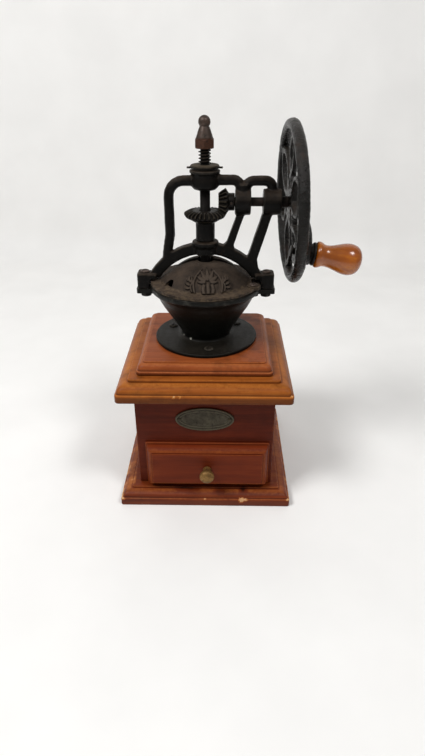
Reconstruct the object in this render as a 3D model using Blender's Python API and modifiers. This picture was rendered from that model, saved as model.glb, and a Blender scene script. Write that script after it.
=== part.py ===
"""Hand-cranked coffee mill: wooden box with a drawer, iron hopper, yoke, bevel gears and flywheel.

Metres, +Z up. X runs to the flywheel, -Y to the drawer front.
The origin is the middle of the underside.
"""

import math

import bmesh
import bpy
from mathutils import Matrix, Vector

# Fits shared by every piece
SEAT_GAP = 0.0003
BORE_GAP = 0.0003
OVERRUN = 0.002
MERGE = 0.00001
EDGE = 0.0005

# Wooden box
BASE_WIDTH = 0.1317
BASE_LIP = 0.0066
BASE_STEP = 0.0014
BASE_RUN = 0.0068
BASE_RISER = 0.0009
BASE_HEIGHT = 0.0118
BASE_CORNER = 0.0016
BODY_WIDTH = 0.1033
WALL_THICKNESS = 0.008
WALL_HEIGHT = 0.0803
CORNICE_WIDTH = 0.1270
CORNICE_LIP = 0.0065
CORNICE_STEP = 0.0012
CORNICE_RUN = 0.0076
CORNICE_RISER = 0.0019
CORNICE_HEIGHT = 0.0146
CORNICE_CORNER = 0.0030
PLINTH_WIDTH = 0.0984
PLINTH_LIP = 0.0030
PLINTH_STEP = 0.0010
PLINTH_RUN = 0.0040
PLINTH_RISER = 0.0008
PLINTH_HEIGHT = 0.0087
PLINTH_CORNER = 0.0030
THROAT_ROOM = 0.0005

# Drawer
DRAWER_FRONT_HEIGHT = 0.0386
DRAWER_FRONT_THICKNESS = 0.0092
DRAWER_FRONT_SHIFT = 0.0018
DRAWER_FRONT_LIFT = 0.0013
DRAWER_LIP = 0.0016
DRAWER_STEP = 0.0012
DRAWER_RUN = 0.0042
DRAWER_RISER = 0.0009
DRAWER_CORNER = 0.0008
DRAWER_OVERLAP = 0.0042
DRAWER_CLEARANCE = 0.0006
DRAWER_SIDE = 0.0040
DRAWER_FLOOR = 0.0030
DRAWER_BACK_ROOM = 0.0030
DRAWER_LIP_DROP = 0.0020
KNOB_RADIUS = 0.0056
KNOB_LENGTH = 0.0118
KNOB_NECK = 0.0028
KNOB_BULB_SHARE = 0.82
KNOB_FOOT_SHARE = 0.66
KNOB_SCREW_RADIUS = 0.0013
KNOB_SCREW_HEAD = 0.0030
KNOB_SCREW_HEAD_HEIGHT = 0.0016
KNOB_SCREW_DEPTH = 0.0050

# Badge
BADGE_WIDTH = 0.0435
BADGE_HEIGHT = 0.0200
BADGE_THICKNESS = 0.0012
BADGE_RIM = 0.0016
BADGE_RECESS = 0.0004
BADGE_PIN_RADIUS = 0.0009
BADGE_PIN_HEAD = 0.0015
BADGE_PIN_INSET = 0.0032
BADGE_PIN_DEPTH = 0.0040
BADGE_PIN_TOP_SHARE = 0.7
BADGE_PIN_BEND_SHARES = (0.6, 0.55)

# Hopper bowl
FOOT_MARGIN = 0.0099
FOOT_THICKNESS = 0.0024
NECK_RADIUS = 0.0200
NECK_RISE = 0.0015
SHOULDER_INSET = 0.0065
SHOULDER_RISE = 0.0260
RIM_RADIUS = 0.0410
RIM_BAND = 0.0038
RIM_RISE = 0.0415
BOWL_WALL = 0.0030
BOWL_FLARE_SHARE = 0.18
BOWL_WAIST_SHARE = 0.45
BOWL_WAIST_RISE_SHARE = 0.47
BOWL_RIM_WALL_SHARE = 1.5
EAR_LENGTH = 0.0100
EAR_DEPTH = 0.0130
EAR_THICKNESS = 0.0034
EAR_CORNER = 0.0030
FOOT_SCREW_SETBACK = 0.0040
FOOT_SCREW_RADIUS = 0.0014
FOOT_SCREW_HEAD = 0.0031
FOOT_SCREW_HEAD_HEIGHT = 0.0013
FOOT_SCREW_LENGTH = 0.0120
FOOT_SCREW_TURN = math.radians(-84.5)
FOOT_SCREW_SLOT_TURN = math.radians(20)
SLOT_WIDTH = 0.0008
SLOT_DEPTH = 0.0006

# Hood and lid
FLANGE_THICKNESS = 0.0018
FLANGE_INSET = 0.0006
HOOD_BRIM = 0.0080
HOOD_CLEAR = 0.0010
HOOD_WALL = 0.0022
LID_BRIM = 0.0070
LID_DROP = 0.0039
LID_WALL = 0.0022
SPINDLE_ROOM = 0.0016
LID_PARTING = 0.0006
PIVOT_INSET = 0.0034
PIVOT_TURN = math.radians(-22.7)
PIVOT_LUG = 0.0050
PIVOT_BOSS = 0.0044
PIVOT_BOSS_HEIGHT = 0.0085
PIVOT_RADIUS = 0.0014
PIVOT_HEAD = 0.0030
PIVOT_HEAD_HEIGHT = 0.0013
PIVOT_SLOT_TURN = math.radians(-35)
NOTCH_WIDTH = 0.0100
NOTCH_HEIGHT = 0.0062
NOTCH_TURN = math.radians(218)
NOTCH_SETBACK_SHARE = 1.5
SWING_ROOM = 0.0012

# Yoke
ARCH_DROP = 0.0185
ARCH_TUCK = 0.0007
ARCH_BAND = 0.0077
ARCH_DEPTH = 0.0070
ARCH_FOOT_RISE = 0.02194895
YOKE_FOOT_RISE = 0.0054
YOKE_FOOT_LENGTH = 0.0085
YOKE_FOOT_STANDOFF = 0.0007
YOKE_FOOT_NECK = 0.0050
YOKE_FOOT_DEPTH = 0.0125
YOKE_FOOT_CORNER = 0.0020
FLANGE_CLEAR = 0.0009
BAR_RADIUS = 0.0036
LEFT_BAR_ROOM = 0.0104
TOP_BAR_ROOM = 0.00085
LEFT_CORNER = 0.0105
LEFT_ROOT_START = math.radians(144)
LEFT_ROOT_END = math.radians(130)
LEFT_BAR_LEAN_SHARE = 0.35
ELBOW_SPREAD_SHARE = 0.55
OUTER_BAR_SHARE = 0.97
ELBOW = 0.0050
TOP_BOSS_RADIUS = 0.0094
TOP_BOSS_RIM = 0.0099
TOP_BOSS_RIM_HEIGHT = 0.0022
TOP_BOSS_WAIST = 0.0086
TOP_BOSS_RISE = 0.0072
TOP_BOSS_HEIGHT = 0.0128
COLLAR_WALL = 0.0044
COLLAR_STAND = 0.0015
COLLAR_HEIGHT = 0.0094
BOSS_RADIUS = 0.00875
BOSS_ONE_LENGTH = 0.0109
BOSS_SPACE = 0.0084
NECK_BOSS_RADIUS = 0.0050
STRUT_ONE_WIDTH = 0.0050
STRUT_ONE_TURN = math.radians(20.1)
STRUT_TWO_WIDTH = 0.0068
STRUT_TWO_TURN = math.radians(45.7)
STRUT_DEPTH = 0.0062
STRUT_FILLET = 0.0035
BOLT_SETBACK = 0.0036
BOLT_RADIUS = 0.0019
BOLT_HEAD = 0.0038
BOLT_HEAD_HEIGHT = 0.0022
NUT_RADIUS = 0.0042
NUT_HEIGHT = 0.0030
BOLT_TAIL = 0.0010
BOLT_SLOT_TURN = math.radians(30)

# Bevel gears, whose axes meet on the spindle at the crank's height
CRANK_RISE = 0.0267
CROWN_TEETH = 28
PINION_TEETH = 16
MODULE = 0.00105
TOOTH_FACE_SHARE = 0.37
TOOTH_THICKNESS_SHARE = 0.36
TOOTH_TIP_SHARE = 0.55
TOOTH_ROOT_WIDTH_SHARE = 1.25
TOOTH_TIP_WIDTH_SHARE = 1.2
TOOTH_END_SHARE = 0.85
ADDENDUM_SHARE = 0.95
DEDENDUM_SHARE = 1.40
CROWN_WEB = 0.0022
CROWN_WEB_FOOT_SHARE = 1.5
SLEEVE_WALL = 0.0021
PINION_HUB = 0.0059
PINION_HUB_LENGTH = 0.0059
PINION_PIN_RADIUS = 0.0008

# Spindle, burrs and what sits on the spindle's top
SPINDLE_RADIUS = 0.0040
SPINDLE_UPPER_STEP = 0.0005
SPINDLE_STUD_STEP = 0.0006
SPINDLE_STEP_RISE_SHARE = 0.55
KEY_FLAT_DEPTH = 0.0008
SPINDLE_FOOT = 0.0060
LIFT_TRAVEL = 0.00075
DIAL_RADIUS = 0.00975
DIAL_PLATE = 0.0012
DIAL_HUB = 0.0086
DIAL_HUB_HEIGHT = 0.0016
DIAL_EAR_RADIUS = 0.00072
DIAL_EAR_REACH = 0.0122
SPRING_WIRE = 0.00042
SPRING_ROOM = 0.00043
SPRING_TURNS = 4.25
SPRING_HEIGHT = 0.0096
HEX_RADIUS = 0.0066
HEX_HEIGHT = 0.0058
CONE_FOOT = 0.0054
CONE_TOP = 0.0030
CONE_HEIGHT = 0.0078
BALL_RADIUS = 0.0040
BALL_RISE_SHARE = 0.55
CONE_WAIST_SHARE = 0.55
CONE_WAIST_RISE_SHARE = 0.45
STUD_IN_NUT = 0.0090
BURR_HEIGHT = 0.0215
BURR_FOOT_RADIUS = 0.0150
BURR_HEAD_RADIUS = 0.0078
BURR_TEETH = 12
BURR_TOOTH_DEPTH = 0.0016
BURR_TWIST = math.radians(38)
GRIND_GAP = 0.0006
RING_BRIM = 0.0050
RING_FLANGE_THICKNESS = 0.0030
RING_WALL = 0.0045
RING_HEIGHT = 0.0180
RING_SCREW_RADIUS = 0.0009
RING_SCREW_HEAD = 0.0019
RING_SCREW_HEAD_HEIGHT = 0.0012
BURR_NUT_RADIUS = 0.0065
BURR_NUT_HEIGHT = 0.0035

# Crank shaft, flywheel and grip
SHAFT_RADIUS = 0.0030
SHAFT_SHOULDER = 0.0037
SHAFT_START_SHARE = 0.75
WHEEL_CLEAR = 0.0086
WHEEL_ROOM = 0.0073
WHEEL_RADIUS = 0.0537
RIM_WIDTH = 0.0078
RIM_DEPTH = 0.0066
HUB_RADIUS = 0.0090
HUB_LENGTH = 0.0084
WEB_THICKNESS = 0.0046
CURL_THICKNESS = 0.0038
STRIP_WIDTH = 0.0031
OVAL_FULLNESS_SHARE = 0.8
OVAL_TIP_SHARE = 1.8
LOOP_COUNT = 3
LOOP_TURN = math.radians(40)
LOOP_HALF_WIDTH = 0.0130
LOOP_BITE = 0.0014
LOOP_ROOT = 0.0050
CURL_HALF_WIDTH = 0.0082
CURL_STRIP = 0.0026
RING_EYE_RADIUS = 0.0064
WHEEL_NUT_RADIUS = 0.0056
WHEEL_NUT_HEIGHT = 0.0042
WHEEL_NUT_TOP_SHARE = 0.6
SHAFT_IN_NUT_SHARE = 0.7
CRANK_INSET = 0.0073
CRANK_TURN = math.radians(220)
CRANK_DROOP = math.radians(9)
CRANK_BOSS_FOOT = 0.0092
CRANK_BOSS_RADIUS = 0.0074
CRANK_BOSS_REACH = 0.0046
STUD_RADIUS = 0.0022
STUD_HEAD = 0.0036
STUD_HEAD_HEIGHT = 0.0014
STUD_HEAD_TOP_SHARE = 0.7
STUD_HEAD_RISE_SHARE = 0.8
STUD_IN_GRIP_SHARE = 0.82
FERRULE_LENGTH = 0.0048
FERRULE_RADIUS = 0.0076
FERRULE_WAIST_SHARE = 0.84
FERRULE_WAIST_RISE_SHARE = 0.45
FERRULE_FOOT_SHARE = 0.88
GRIP_LENGTH = 0.0318
GRIP_RADIUS = 0.0104
GRIP_ROOT_SHARE = 0.72
GRIP_COLLAR_SHARE = 0.83
GRIP_NECK_SHARE = 0.62

# Counts of facets
RING_STEPS = 32
BOSS_STEPS = 16
SCREW_STEPS = 8
CURVE_STEPS = 4
WHEEL_STEPS = 40

# Radii and places worked out from the sizes above
RING_RADIUS = BURR_FOOT_RADIUS + RING_WALL
RING_FLANGE = RING_RADIUS + RING_BRIM
RING_SCREW_CIRCLE = RING_RADIUS + RING_BRIM / 2
THROAT_RADIUS = RING_FLANGE + THROAT_ROOM
FOOT_SCREW_CIRCLE = THROAT_RADIUS + FOOT_SCREW_SETBACK
FOOT_RADIUS = FOOT_SCREW_CIRCLE + FOOT_MARGIN
SHOULDER_RADIUS = RIM_RADIUS - SHOULDER_INSET
FLANGE_RADIUS = RIM_RADIUS - FLANGE_INSET
EAR_REACH = RIM_RADIUS + EAR_LENGTH
BOLT_X = RIM_RADIUS + BOLT_SETBACK
PIVOT_X = (RIM_RADIUS - PIVOT_INSET) * math.cos(PIVOT_TURN)
PIVOT_Y = (RIM_RADIUS - PIVOT_INSET) * math.sin(PIVOT_TURN)
SPINDLE_UPPER = SPINDLE_RADIUS - SPINDLE_UPPER_STEP
SPINDLE_STUD = SPINDLE_UPPER - SPINDLE_STUD_STEP
KEY_FLAT = SPINDLE_RADIUS - KEY_FLAT_DEPTH
SPINDLE_HOLE = SPINDLE_RADIUS + SPINDLE_ROOM
SPRING_RADIUS = SPINDLE_STUD + SPRING_WIRE + SPRING_ROOM
COLLAR_RADIUS = SPINDLE_RADIUS + COLLAR_WALL
SLEEVE_RADIUS = SPINDLE_RADIUS + SLEEVE_WALL
ARCH_INNER = RIM_RADIUS - ARCH_TUCK
ARCH_START = math.asin(ARCH_FOOT_RISE / ARCH_INNER)
ARCH_ROOT = ARCH_INNER + ARCH_BAND / 2
YOKE_FOOT_INNER = RIM_RADIUS + YOKE_FOOT_STANDOFF
YOKE_FOOT_OUTER = YOKE_FOOT_INNER + YOKE_FOOT_LENGTH
CROWN_ANGLE = math.atan2(CROWN_TEETH, PINION_TEETH)
CROWN_PITCH_RADIUS = MODULE * CROWN_TEETH / 2
PINION_PITCH_RADIUS = MODULE * PINION_TEETH / 2
CONE_DISTANCE = math.hypot(CROWN_PITCH_RADIUS, PINION_PITCH_RADIUS)
LEFT_BAR_X = -CROWN_PITCH_RADIUS - LEFT_BAR_ROOM
BOSS_ONE_X = CROWN_PITCH_RADIUS + PINION_HUB_LENGTH
BOSS_TWO_X = BOSS_ONE_X + BOSS_ONE_LENGTH + BOSS_SPACE
WHEEL_X = EAR_REACH + WHEEL_CLEAR
BOSS_TWO_LENGTH = WHEEL_X - WHEEL_ROOM - BOSS_TWO_X
LOOP_REACH = WHEEL_RADIUS - RIM_DEPTH + LOOP_BITE
RING_EYE_CIRCLE = HUB_RADIUS + RING_EYE_RADIUS - CURL_STRIP / 2
CURL_ROOT = RING_EYE_CIRCLE + RING_EYE_RADIUS - CURL_STRIP
CRANK_RADIUS = WHEEL_RADIUS - RIM_DEPTH - CRANK_INSET

# Levels, from the underside up
BASE_TOP = BASE_HEIGHT
WALL_FOOT = BASE_TOP + SEAT_GAP
WALL_TOP = WALL_FOOT + WALL_HEIGHT
DRAWER_FRONT_TOP = WALL_FOOT + DRAWER_FRONT_LIFT + DRAWER_FRONT_HEIGHT
BADGE_LEVEL = (DRAWER_FRONT_TOP + WALL_TOP) / 2 + EDGE
CORNICE_FOOT = WALL_TOP + SEAT_GAP
CORNICE_TOP = CORNICE_FOOT + CORNICE_HEIGHT
PLINTH_FOOT = CORNICE_TOP + SEAT_GAP
PLINTH_TOP = PLINTH_FOOT + PLINTH_HEIGHT
BOWL_FOOT = PLINTH_TOP + SEAT_GAP
FOOT_TOP = BOWL_FOOT + FOOT_THICKNESS
BURR_TOP = FOOT_TOP
RIM_TOP = FOOT_TOP + RIM_RISE
EAR_TOP = RIM_TOP - RIM_BAND
FLANGE_FOOT = RIM_TOP + SEAT_GAP
FLANGE_TOP = FLANGE_FOOT + FLANGE_THICKNESS
YOKE_FOOT_TOP = FLANGE_TOP + YOKE_FOOT_RISE
YOKE_CENTRE_Z = RIM_TOP - ARCH_DROP
HOOD_RISE = YOKE_CENTRE_Z + ARCH_INNER - HOOD_CLEAR - FLANGE_TOP
LID_RISE = HOOD_RISE - LID_DROP
COLLAR_TOP = YOKE_CENTRE_Z + ARCH_INNER + ARCH_BAND + COLLAR_STAND
SLEEVE_FOOT = COLLAR_TOP + SEAT_GAP
CRANK_AXIS_Z = COLLAR_TOP + CRANK_RISE
TOP_BAR_Z = CRANK_AXIS_Z + PINION_PITCH_RADIUS + MODULE + BAR_RADIUS + TOP_BAR_ROOM
TOP_BOSS_TOP = TOP_BAR_Z + TOP_BOSS_RISE
DIAL_FOOT = TOP_BOSS_TOP + SEAT_GAP
DIAL_TOP = DIAL_FOOT + DIAL_HUB_HEIGHT + DIAL_PLATE
SPRING_FOOT = DIAL_TOP + SEAT_GAP
FINIAL_FOOT = SPRING_FOOT + SPRING_HEIGHT + SEAT_GAP
SHAFT_LEVEL = Vector((0.0, 0.0, CRANK_AXIS_Z))
CRANK_POINT = Vector((
    WHEEL_X + RIM_WIDTH / 2,
    CRANK_RADIUS * math.cos(CRANK_TURN),
    CRANK_AXIS_Z + CRANK_RADIUS * math.sin(CRANK_TURN),
))
CRANK_AXIS = Vector((math.cos(CRANK_DROOP), 0.0, -math.sin(CRANK_DROOP)))

AXIS_X = Vector((1.0, 0.0, 0.0))
AXIS_Y = Vector((0.0, 1.0, 0.0))
AXIS_Z = Vector((0.0, 0.0, 1.0))


def clear_scene():
    for old in list(bpy.data.objects):
        bpy.data.objects.remove(old, do_unlink=True)


def make_collection(name, hidden=False):
    group = bpy.data.collections.new(name)
    bpy.context.scene.collection.children.link(group)
    group.hide_render = hidden
    return group


def make_material(name, colour, roughness, metallic):
    material = bpy.data.materials.new(name)
    material.use_nodes = True
    shader = material.node_tree.nodes["Principled BSDF"]
    shader.inputs["Base Color"].default_value = (*colour, 1.0)
    shader.inputs["Roughness"].default_value = roughness
    shader.inputs["Metallic"].default_value = metallic
    material.diffuse_color = (*colour, 1.0)
    return material


clear_scene()
MILL = make_collection("manual_coffee_grinder")
CUTTERS = make_collection("cutters", hidden=True)
WOOD = make_material("stained_wood", (0.36, 0.09, 0.03), 0.35, 0.0)
PLAIN_WOOD = make_material("plain_wood", (0.55, 0.38, 0.22), 0.7, 0.0)
GRIP_WOOD = make_material("varnished_wood", (0.72, 0.33, 0.07), 0.2, 0.0)
IRON = make_material("black_cast_iron", (0.03, 0.03, 0.03), 0.55, 0.8)
STEEL = make_material("aged_steel", (0.25, 0.22, 0.20), 0.45, 1.0)
BRASS = make_material("aged_brass", (0.45, 0.35, 0.14), 0.4, 1.0)
PEWTER = make_material("grey_pewter", (0.22, 0.22, 0.18), 0.5, 0.9)


def show(item, material, smooth=True):
    """Put a finished solid in the mill's collection with its material."""
    MILL.objects.link(item)
    item.data.materials.clear()
    item.data.materials.append(material)
    if smooth:
        item.data.shade_smooth()
        item.data.set_sharp_from_angle(angle=math.radians(35))
    return item


def hide(item):
    """Keep a cutter, or a form that a Boolean joins on, out of the model."""
    if item.name not in CUTTERS.objects:
        CUTTERS.objects.link(item)
    item.hide_render = True
    item.display_type = "WIRE"
    return item


def new_object(name, bm):
    mesh = bpy.data.meshes.new(name)
    bm.to_mesh(mesh)
    bm.free()
    return bpy.data.objects.new(name, mesh)


def aim(item, start, direction):
    """Place an object so that its own Z runs along a direction from a point."""
    turn = Vector(direction).to_track_quat("Z", "Y").to_matrix().to_4x4()
    item.matrix_world = Matrix.Translation(start) @ turn
    return item


def cut(item, *cutters, operation="DIFFERENCE"):
    for cutter in cutters:
        hide(cutter)
        step = item.modifiers.new(cutter.name, "BOOLEAN")
        step.operation = operation
        step.solver = "EXACT"
        step.object = cutter
    return item


def join(item, *others):
    return cut(item, *others, operation="UNION")


def block(name, low, high):
    """A plain box between two corners."""
    low = Vector(low)
    high = Vector(high)
    bm = bmesh.new()
    bmesh.ops.create_cube(bm, size=1.0)
    bmesh.ops.scale(bm, vec=high - low, verts=bm.verts)
    item = new_object(name, bm)
    item.location = (low + high) / 2
    return item


def rod(name, radius, start, end, steps=SCREW_STEPS):
    """A plain cylinder between two points."""
    start = Vector(start)
    run = Vector(end) - start
    bm = bmesh.new()
    bmesh.ops.create_cone(
        bm, cap_ends=True, segments=steps, radius1=radius, radius2=radius, depth=run.length)
    bmesh.ops.translate(bm, vec=AXIS_Z * run.length / 2, verts=bm.verts)
    return aim(new_object(name, bm), start, run)


def turned(name, profile, steps=RING_STEPS, ring=False):
    """A turned solid: the profile's (radius, height) points run down the outer side."""
    bm = bmesh.new()
    points = [bm.verts.new((radius, 0.0, height)) for radius, height in profile]
    for first, second in zip(points, points[1:]):
        bm.edges.new((first, second))
    if ring:
        bm.edges.new((points[-1], points[0]))
    item = new_object(name, bm)
    screw = item.modifiers.new("turn", "SCREW")
    screw.axis = "Z"
    screw.steps = steps
    screw.render_steps = steps
    screw.use_merge_vertices = True
    screw.merge_threshold = MERGE
    return item


def whole(bm):
    return list(bm.verts) + list(bm.edges) + list(bm.faces)


def raise_region(bm, region):
    """Extrude a region on the spot; gives the new region and its points."""
    region = bmesh.ops.extrude_face_region(bm, geom=region)["geom"]
    return region, [part for part in region if isinstance(part, bmesh.types.BMVert)]


def rounded_board(name, width, depth, corner, rows):
    """A board whose outline steps in and up by rows of (inset, height)."""
    bm = bmesh.new()
    bmesh.ops.create_grid(bm, x_segments=1, y_segments=1, size=0.5)
    bmesh.ops.scale(bm, vec=(width, depth, 1.0), verts=bm.verts)
    bmesh.ops.bevel(
        bm, geom=list(bm.verts), offset=corner, offset_type="OFFSET", segments=2,
        profile=0.5, affect="VERTICES", material=-1)
    inset, level = rows[0]
    across = width - 2 * inset
    along = depth - 2 * inset
    bmesh.ops.scale(bm, vec=(across / width, along / depth, 1.0), verts=bm.verts)
    bmesh.ops.translate(bm, vec=(0.0, 0.0, level), verts=bm.verts)
    region = whole(bm)
    for inset, height in rows[1:]:
        region, verts = raise_region(bm, region)
        new_across = width - 2 * inset
        new_along = depth - 2 * inset
        bmesh.ops.scale(bm, vec=(new_across / across, new_along / along, 1.0), verts=verts)
        bmesh.ops.translate(bm, vec=(0.0, 0.0, height - level), verts=verts)
        across = new_across
        along = new_along
        level = height
    bmesh.ops.recalc_face_normals(bm, faces=bm.faces)
    return new_object(name, bm)


def moulding(lip, step, run, riser, height):
    """Rows of a routed edge: a square lip, a small step, an ovolo and a riser."""
    rows = [(EDGE, 0.0), (0.0, EDGE), (0.0, lip - EDGE), (EDGE, lip), (step, lip)]
    rise = height - riser - lip
    for number in range(1, CURVE_STEPS + 1):
        turn = math.pi / 2 * number / CURVE_STEPS
        rows.append((step + run * (1 - math.cos(turn)), lip + rise * math.sin(turn)))
    rows.append((step + run, height - EDGE))
    rows.append((step + run + EDGE, height))
    return rows


def arc(centre, radius, start, end, count):
    """Points on an arc in the plane of a flat outline."""
    turns = [start + (end - start) * number / count for number in range(count + 1)]
    return [(centre[0] + radius * math.cos(t), centre[1] + radius * math.sin(t)) for t in turns]


def mesh_of(curve_object):
    """Turn a curve object into a welded mesh object of the same name and place."""
    bpy.context.scene.collection.objects.link(curve_object)
    bpy.context.view_layer.update()
    graph = bpy.context.evaluated_depsgraph_get()
    mesh = bpy.data.meshes.new_from_object(curve_object.evaluated_get(graph))
    bm = bmesh.new()
    bm.from_mesh(mesh)
    bmesh.ops.remove_doubles(bm, verts=bm.verts, dist=MERGE)
    bmesh.ops.recalc_face_normals(bm, faces=bm.faces)
    bm.to_mesh(mesh)
    bm.free()
    name = curve_object.name
    place = curve_object.matrix_world.copy()
    curve = curve_object.data
    bpy.data.objects.remove(curve_object)
    bpy.data.curves.remove(curve)
    item = bpy.data.objects.new(name, mesh)
    item.matrix_world = place
    return item


def bar(name, points, radius, resolution=2, closed=False):
    """A round bar that follows a list of points."""
    curve = bpy.data.curves.new(name, "CURVE")
    curve.dimensions = "3D"
    curve.bevel_depth = radius
    curve.bevel_resolution = resolution
    curve.use_fill_caps = not closed
    spline = curve.splines.new("POLY")
    spline.points.add(len(points) - 1)
    spline.use_cyclic_u = closed
    for place, point in zip(spline.points, points):
        place.co = (*point, 1.0)
    return mesh_of(bpy.data.objects.new(name, curve))


def plate(name, outlines, thickness, place):
    """A flat plate in its own XY plane: the first outline is its edge, the others are holes."""
    curve = bpy.data.curves.new(name, "CURVE")
    curve.dimensions = "2D"
    curve.fill_mode = "BOTH"
    curve.extrude = thickness / 2
    for outline in outlines:
        spline = curve.splines.new("POLY")
        spline.points.add(len(outline) - 1)
        spline.use_cyclic_u = True
        for mark, (x, y) in zip(spline.points, outline):
            mark.co = (x, y, 0.0, 1.0)
    item = bpy.data.objects.new(name, curve)
    item.matrix_world = place
    return mesh_of(item)


def upright(depth=0.0):
    """Place for a plate whose X and Y become the world's X and Z."""
    return Matrix.Translation((0.0, depth, 0.0)) @ Matrix.Rotation(math.pi / 2, 4, "X")


def wheel_plane(x):
    """Place for a plate whose X and Y become the world's Y and Z about the crank's axis."""
    turn = Matrix(((0, 0, 1, 0), (1, 0, 0, 0), (0, 1, 0, 0), (0, 0, 0, 1)))
    return Matrix.Translation((x, 0.0, CRANK_AXIS_Z)) @ turn


def slotted_screw(name, head, head_height, shank, length, start, direction, slot_turn=0.0):
    """A screw whose head stands on a face at the start and points along the direction."""
    item = turned(
        name,
        [
            (0.0, head_height),
            (head - EDGE, head_height),
            (head, head_height - EDGE),
            (head, 0.0),
            (shank, 0.0),
            (shank, -length),
            (0.0, -length),
        ],
        steps=SCREW_STEPS,
    )
    slot = block(
        name + "_slot",
        (-head - OVERRUN, -SLOT_WIDTH / 2, head_height - SLOT_DEPTH),
        (head + OVERRUN, SLOT_WIDTH / 2, head_height + OVERRUN),
    )
    slot.matrix_world = Matrix.Rotation(slot_turn, 4, "Z") @ Matrix.Translation(slot.location)
    slot.parent = item
    cut(item, slot)
    return aim(item, start, direction)


def hex_nut(name, radius, height, bore, start, direction):
    """A six-sided nut that stands on the start and points along the direction."""
    nut = turned(
        name,
        [
            (0.0, height),
            (radius - EDGE, height),
            (radius, height - EDGE),
            (radius, EDGE),
            (radius - EDGE, 0.0),
            (0.0, 0.0),
        ],
        steps=6,
    )
    hole = rod(name + "_bore", bore, -AXIS_Z * OVERRUN, AXIS_Z * (height + OVERRUN), BOSS_STEPS)
    hole.parent = nut
    cut(nut, hole)
    return aim(nut, start, direction)


def make_box():
    """Base, four walls, cornice and raised plinth."""
    half = BODY_WIDTH / 2
    rows = moulding(BASE_LIP, BASE_STEP, BASE_RUN, BASE_RISER, BASE_HEIGHT)
    show(rounded_board("base_plinth", BASE_WIDTH, BASE_WIDTH, BASE_CORNER, rows), WOOD)

    front = block("body_front", (-half, -half, WALL_FOOT), (half, -half + WALL_THICKNESS, WALL_TOP))
    opening = drawer_opening()
    mouth = block(
        "drawer_mouth",
        (-opening, -half - OVERRUN, WALL_FOOT - OVERRUN),
        (opening, -half + WALL_THICKNESS + OVERRUN, drawer_opening_top()),
    )
    pin_holes = [
        rod("badge_hole", BADGE_PIN_RADIUS + BORE_GAP, (x, -half - OVERRUN, BADGE_LEVEL),
            (x, -half + BADGE_PIN_DEPTH + SEAT_GAP, BADGE_LEVEL))
        for x in badge_pin_places()
    ]
    show(cut(front, mouth, *pin_holes), WOOD, smooth=False)
    back = block("body_back", (-half, half - WALL_THICKNESS, WALL_FOOT), (half, half, WALL_TOP))
    show(back, WOOD, smooth=False)
    reach = half - WALL_THICKNESS - SEAT_GAP
    for side, name in ((-1, "body_left"), (1, "body_right")):
        ends = sorted((side * half, side * (half - WALL_THICKNESS)))
        wall = block(name, (ends[0], -reach, WALL_FOOT), (ends[1], reach, WALL_TOP))
        show(wall, WOOD, smooth=False)

    throat = [
        rod(
            "throat", THROAT_RADIUS, (0.0, 0.0, CORNICE_FOOT - OVERRUN),
            (0.0, 0.0, PLINTH_TOP + OVERRUN), 24)
        for _ in range(2)
    ]
    rows = moulding(CORNICE_LIP, CORNICE_STEP, CORNICE_RUN, CORNICE_RISER, CORNICE_HEIGHT)
    cornice = rounded_board("cornice_board", CORNICE_WIDTH, CORNICE_WIDTH, CORNICE_CORNER, rows)
    cornice.location.z = CORNICE_FOOT
    screws = [
        rod("screw_hole", FOOT_SCREW_RADIUS + BORE_GAP,
            (x, y, FOOT_TOP - FOOT_SCREW_LENGTH - SEAT_GAP), (x, y, FOOT_TOP + OVERRUN))
        for x, y in foot_screw_places()
    ]
    show(cut(cornice, throat[0], *screws), WOOD)
    rows = moulding(PLINTH_LIP, PLINTH_STEP, PLINTH_RUN, PLINTH_RISER, PLINTH_HEIGHT)
    plinth = rounded_board("raised_plinth", PLINTH_WIDTH, PLINTH_WIDTH, PLINTH_CORNER, rows)
    plinth.location.z = PLINTH_FOOT
    show(cut(plinth, throat[1], *screws), WOOD)


def drawer_opening():
    """Half the width of the drawer's opening, just clear of the side walls."""
    return BODY_WIDTH / 2 - WALL_THICKNESS - DRAWER_CLEARANCE


def drawer_opening_top():
    return DRAWER_FRONT_TOP - DRAWER_OVERLAP


def badge_pin_places():
    place = BADGE_WIDTH / 2 - BADGE_PIN_INSET
    return (-place, place)


def foot_screw_places():
    """The three screws that hold the bowl's foot, a third of a turn apart."""
    turns = [FOOT_SCREW_TURN + number * math.tau / 3 for number in range(3)]
    return [(FOOT_SCREW_CIRCLE * math.cos(t), FOOT_SCREW_CIRCLE * math.sin(t)) for t in turns]


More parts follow.
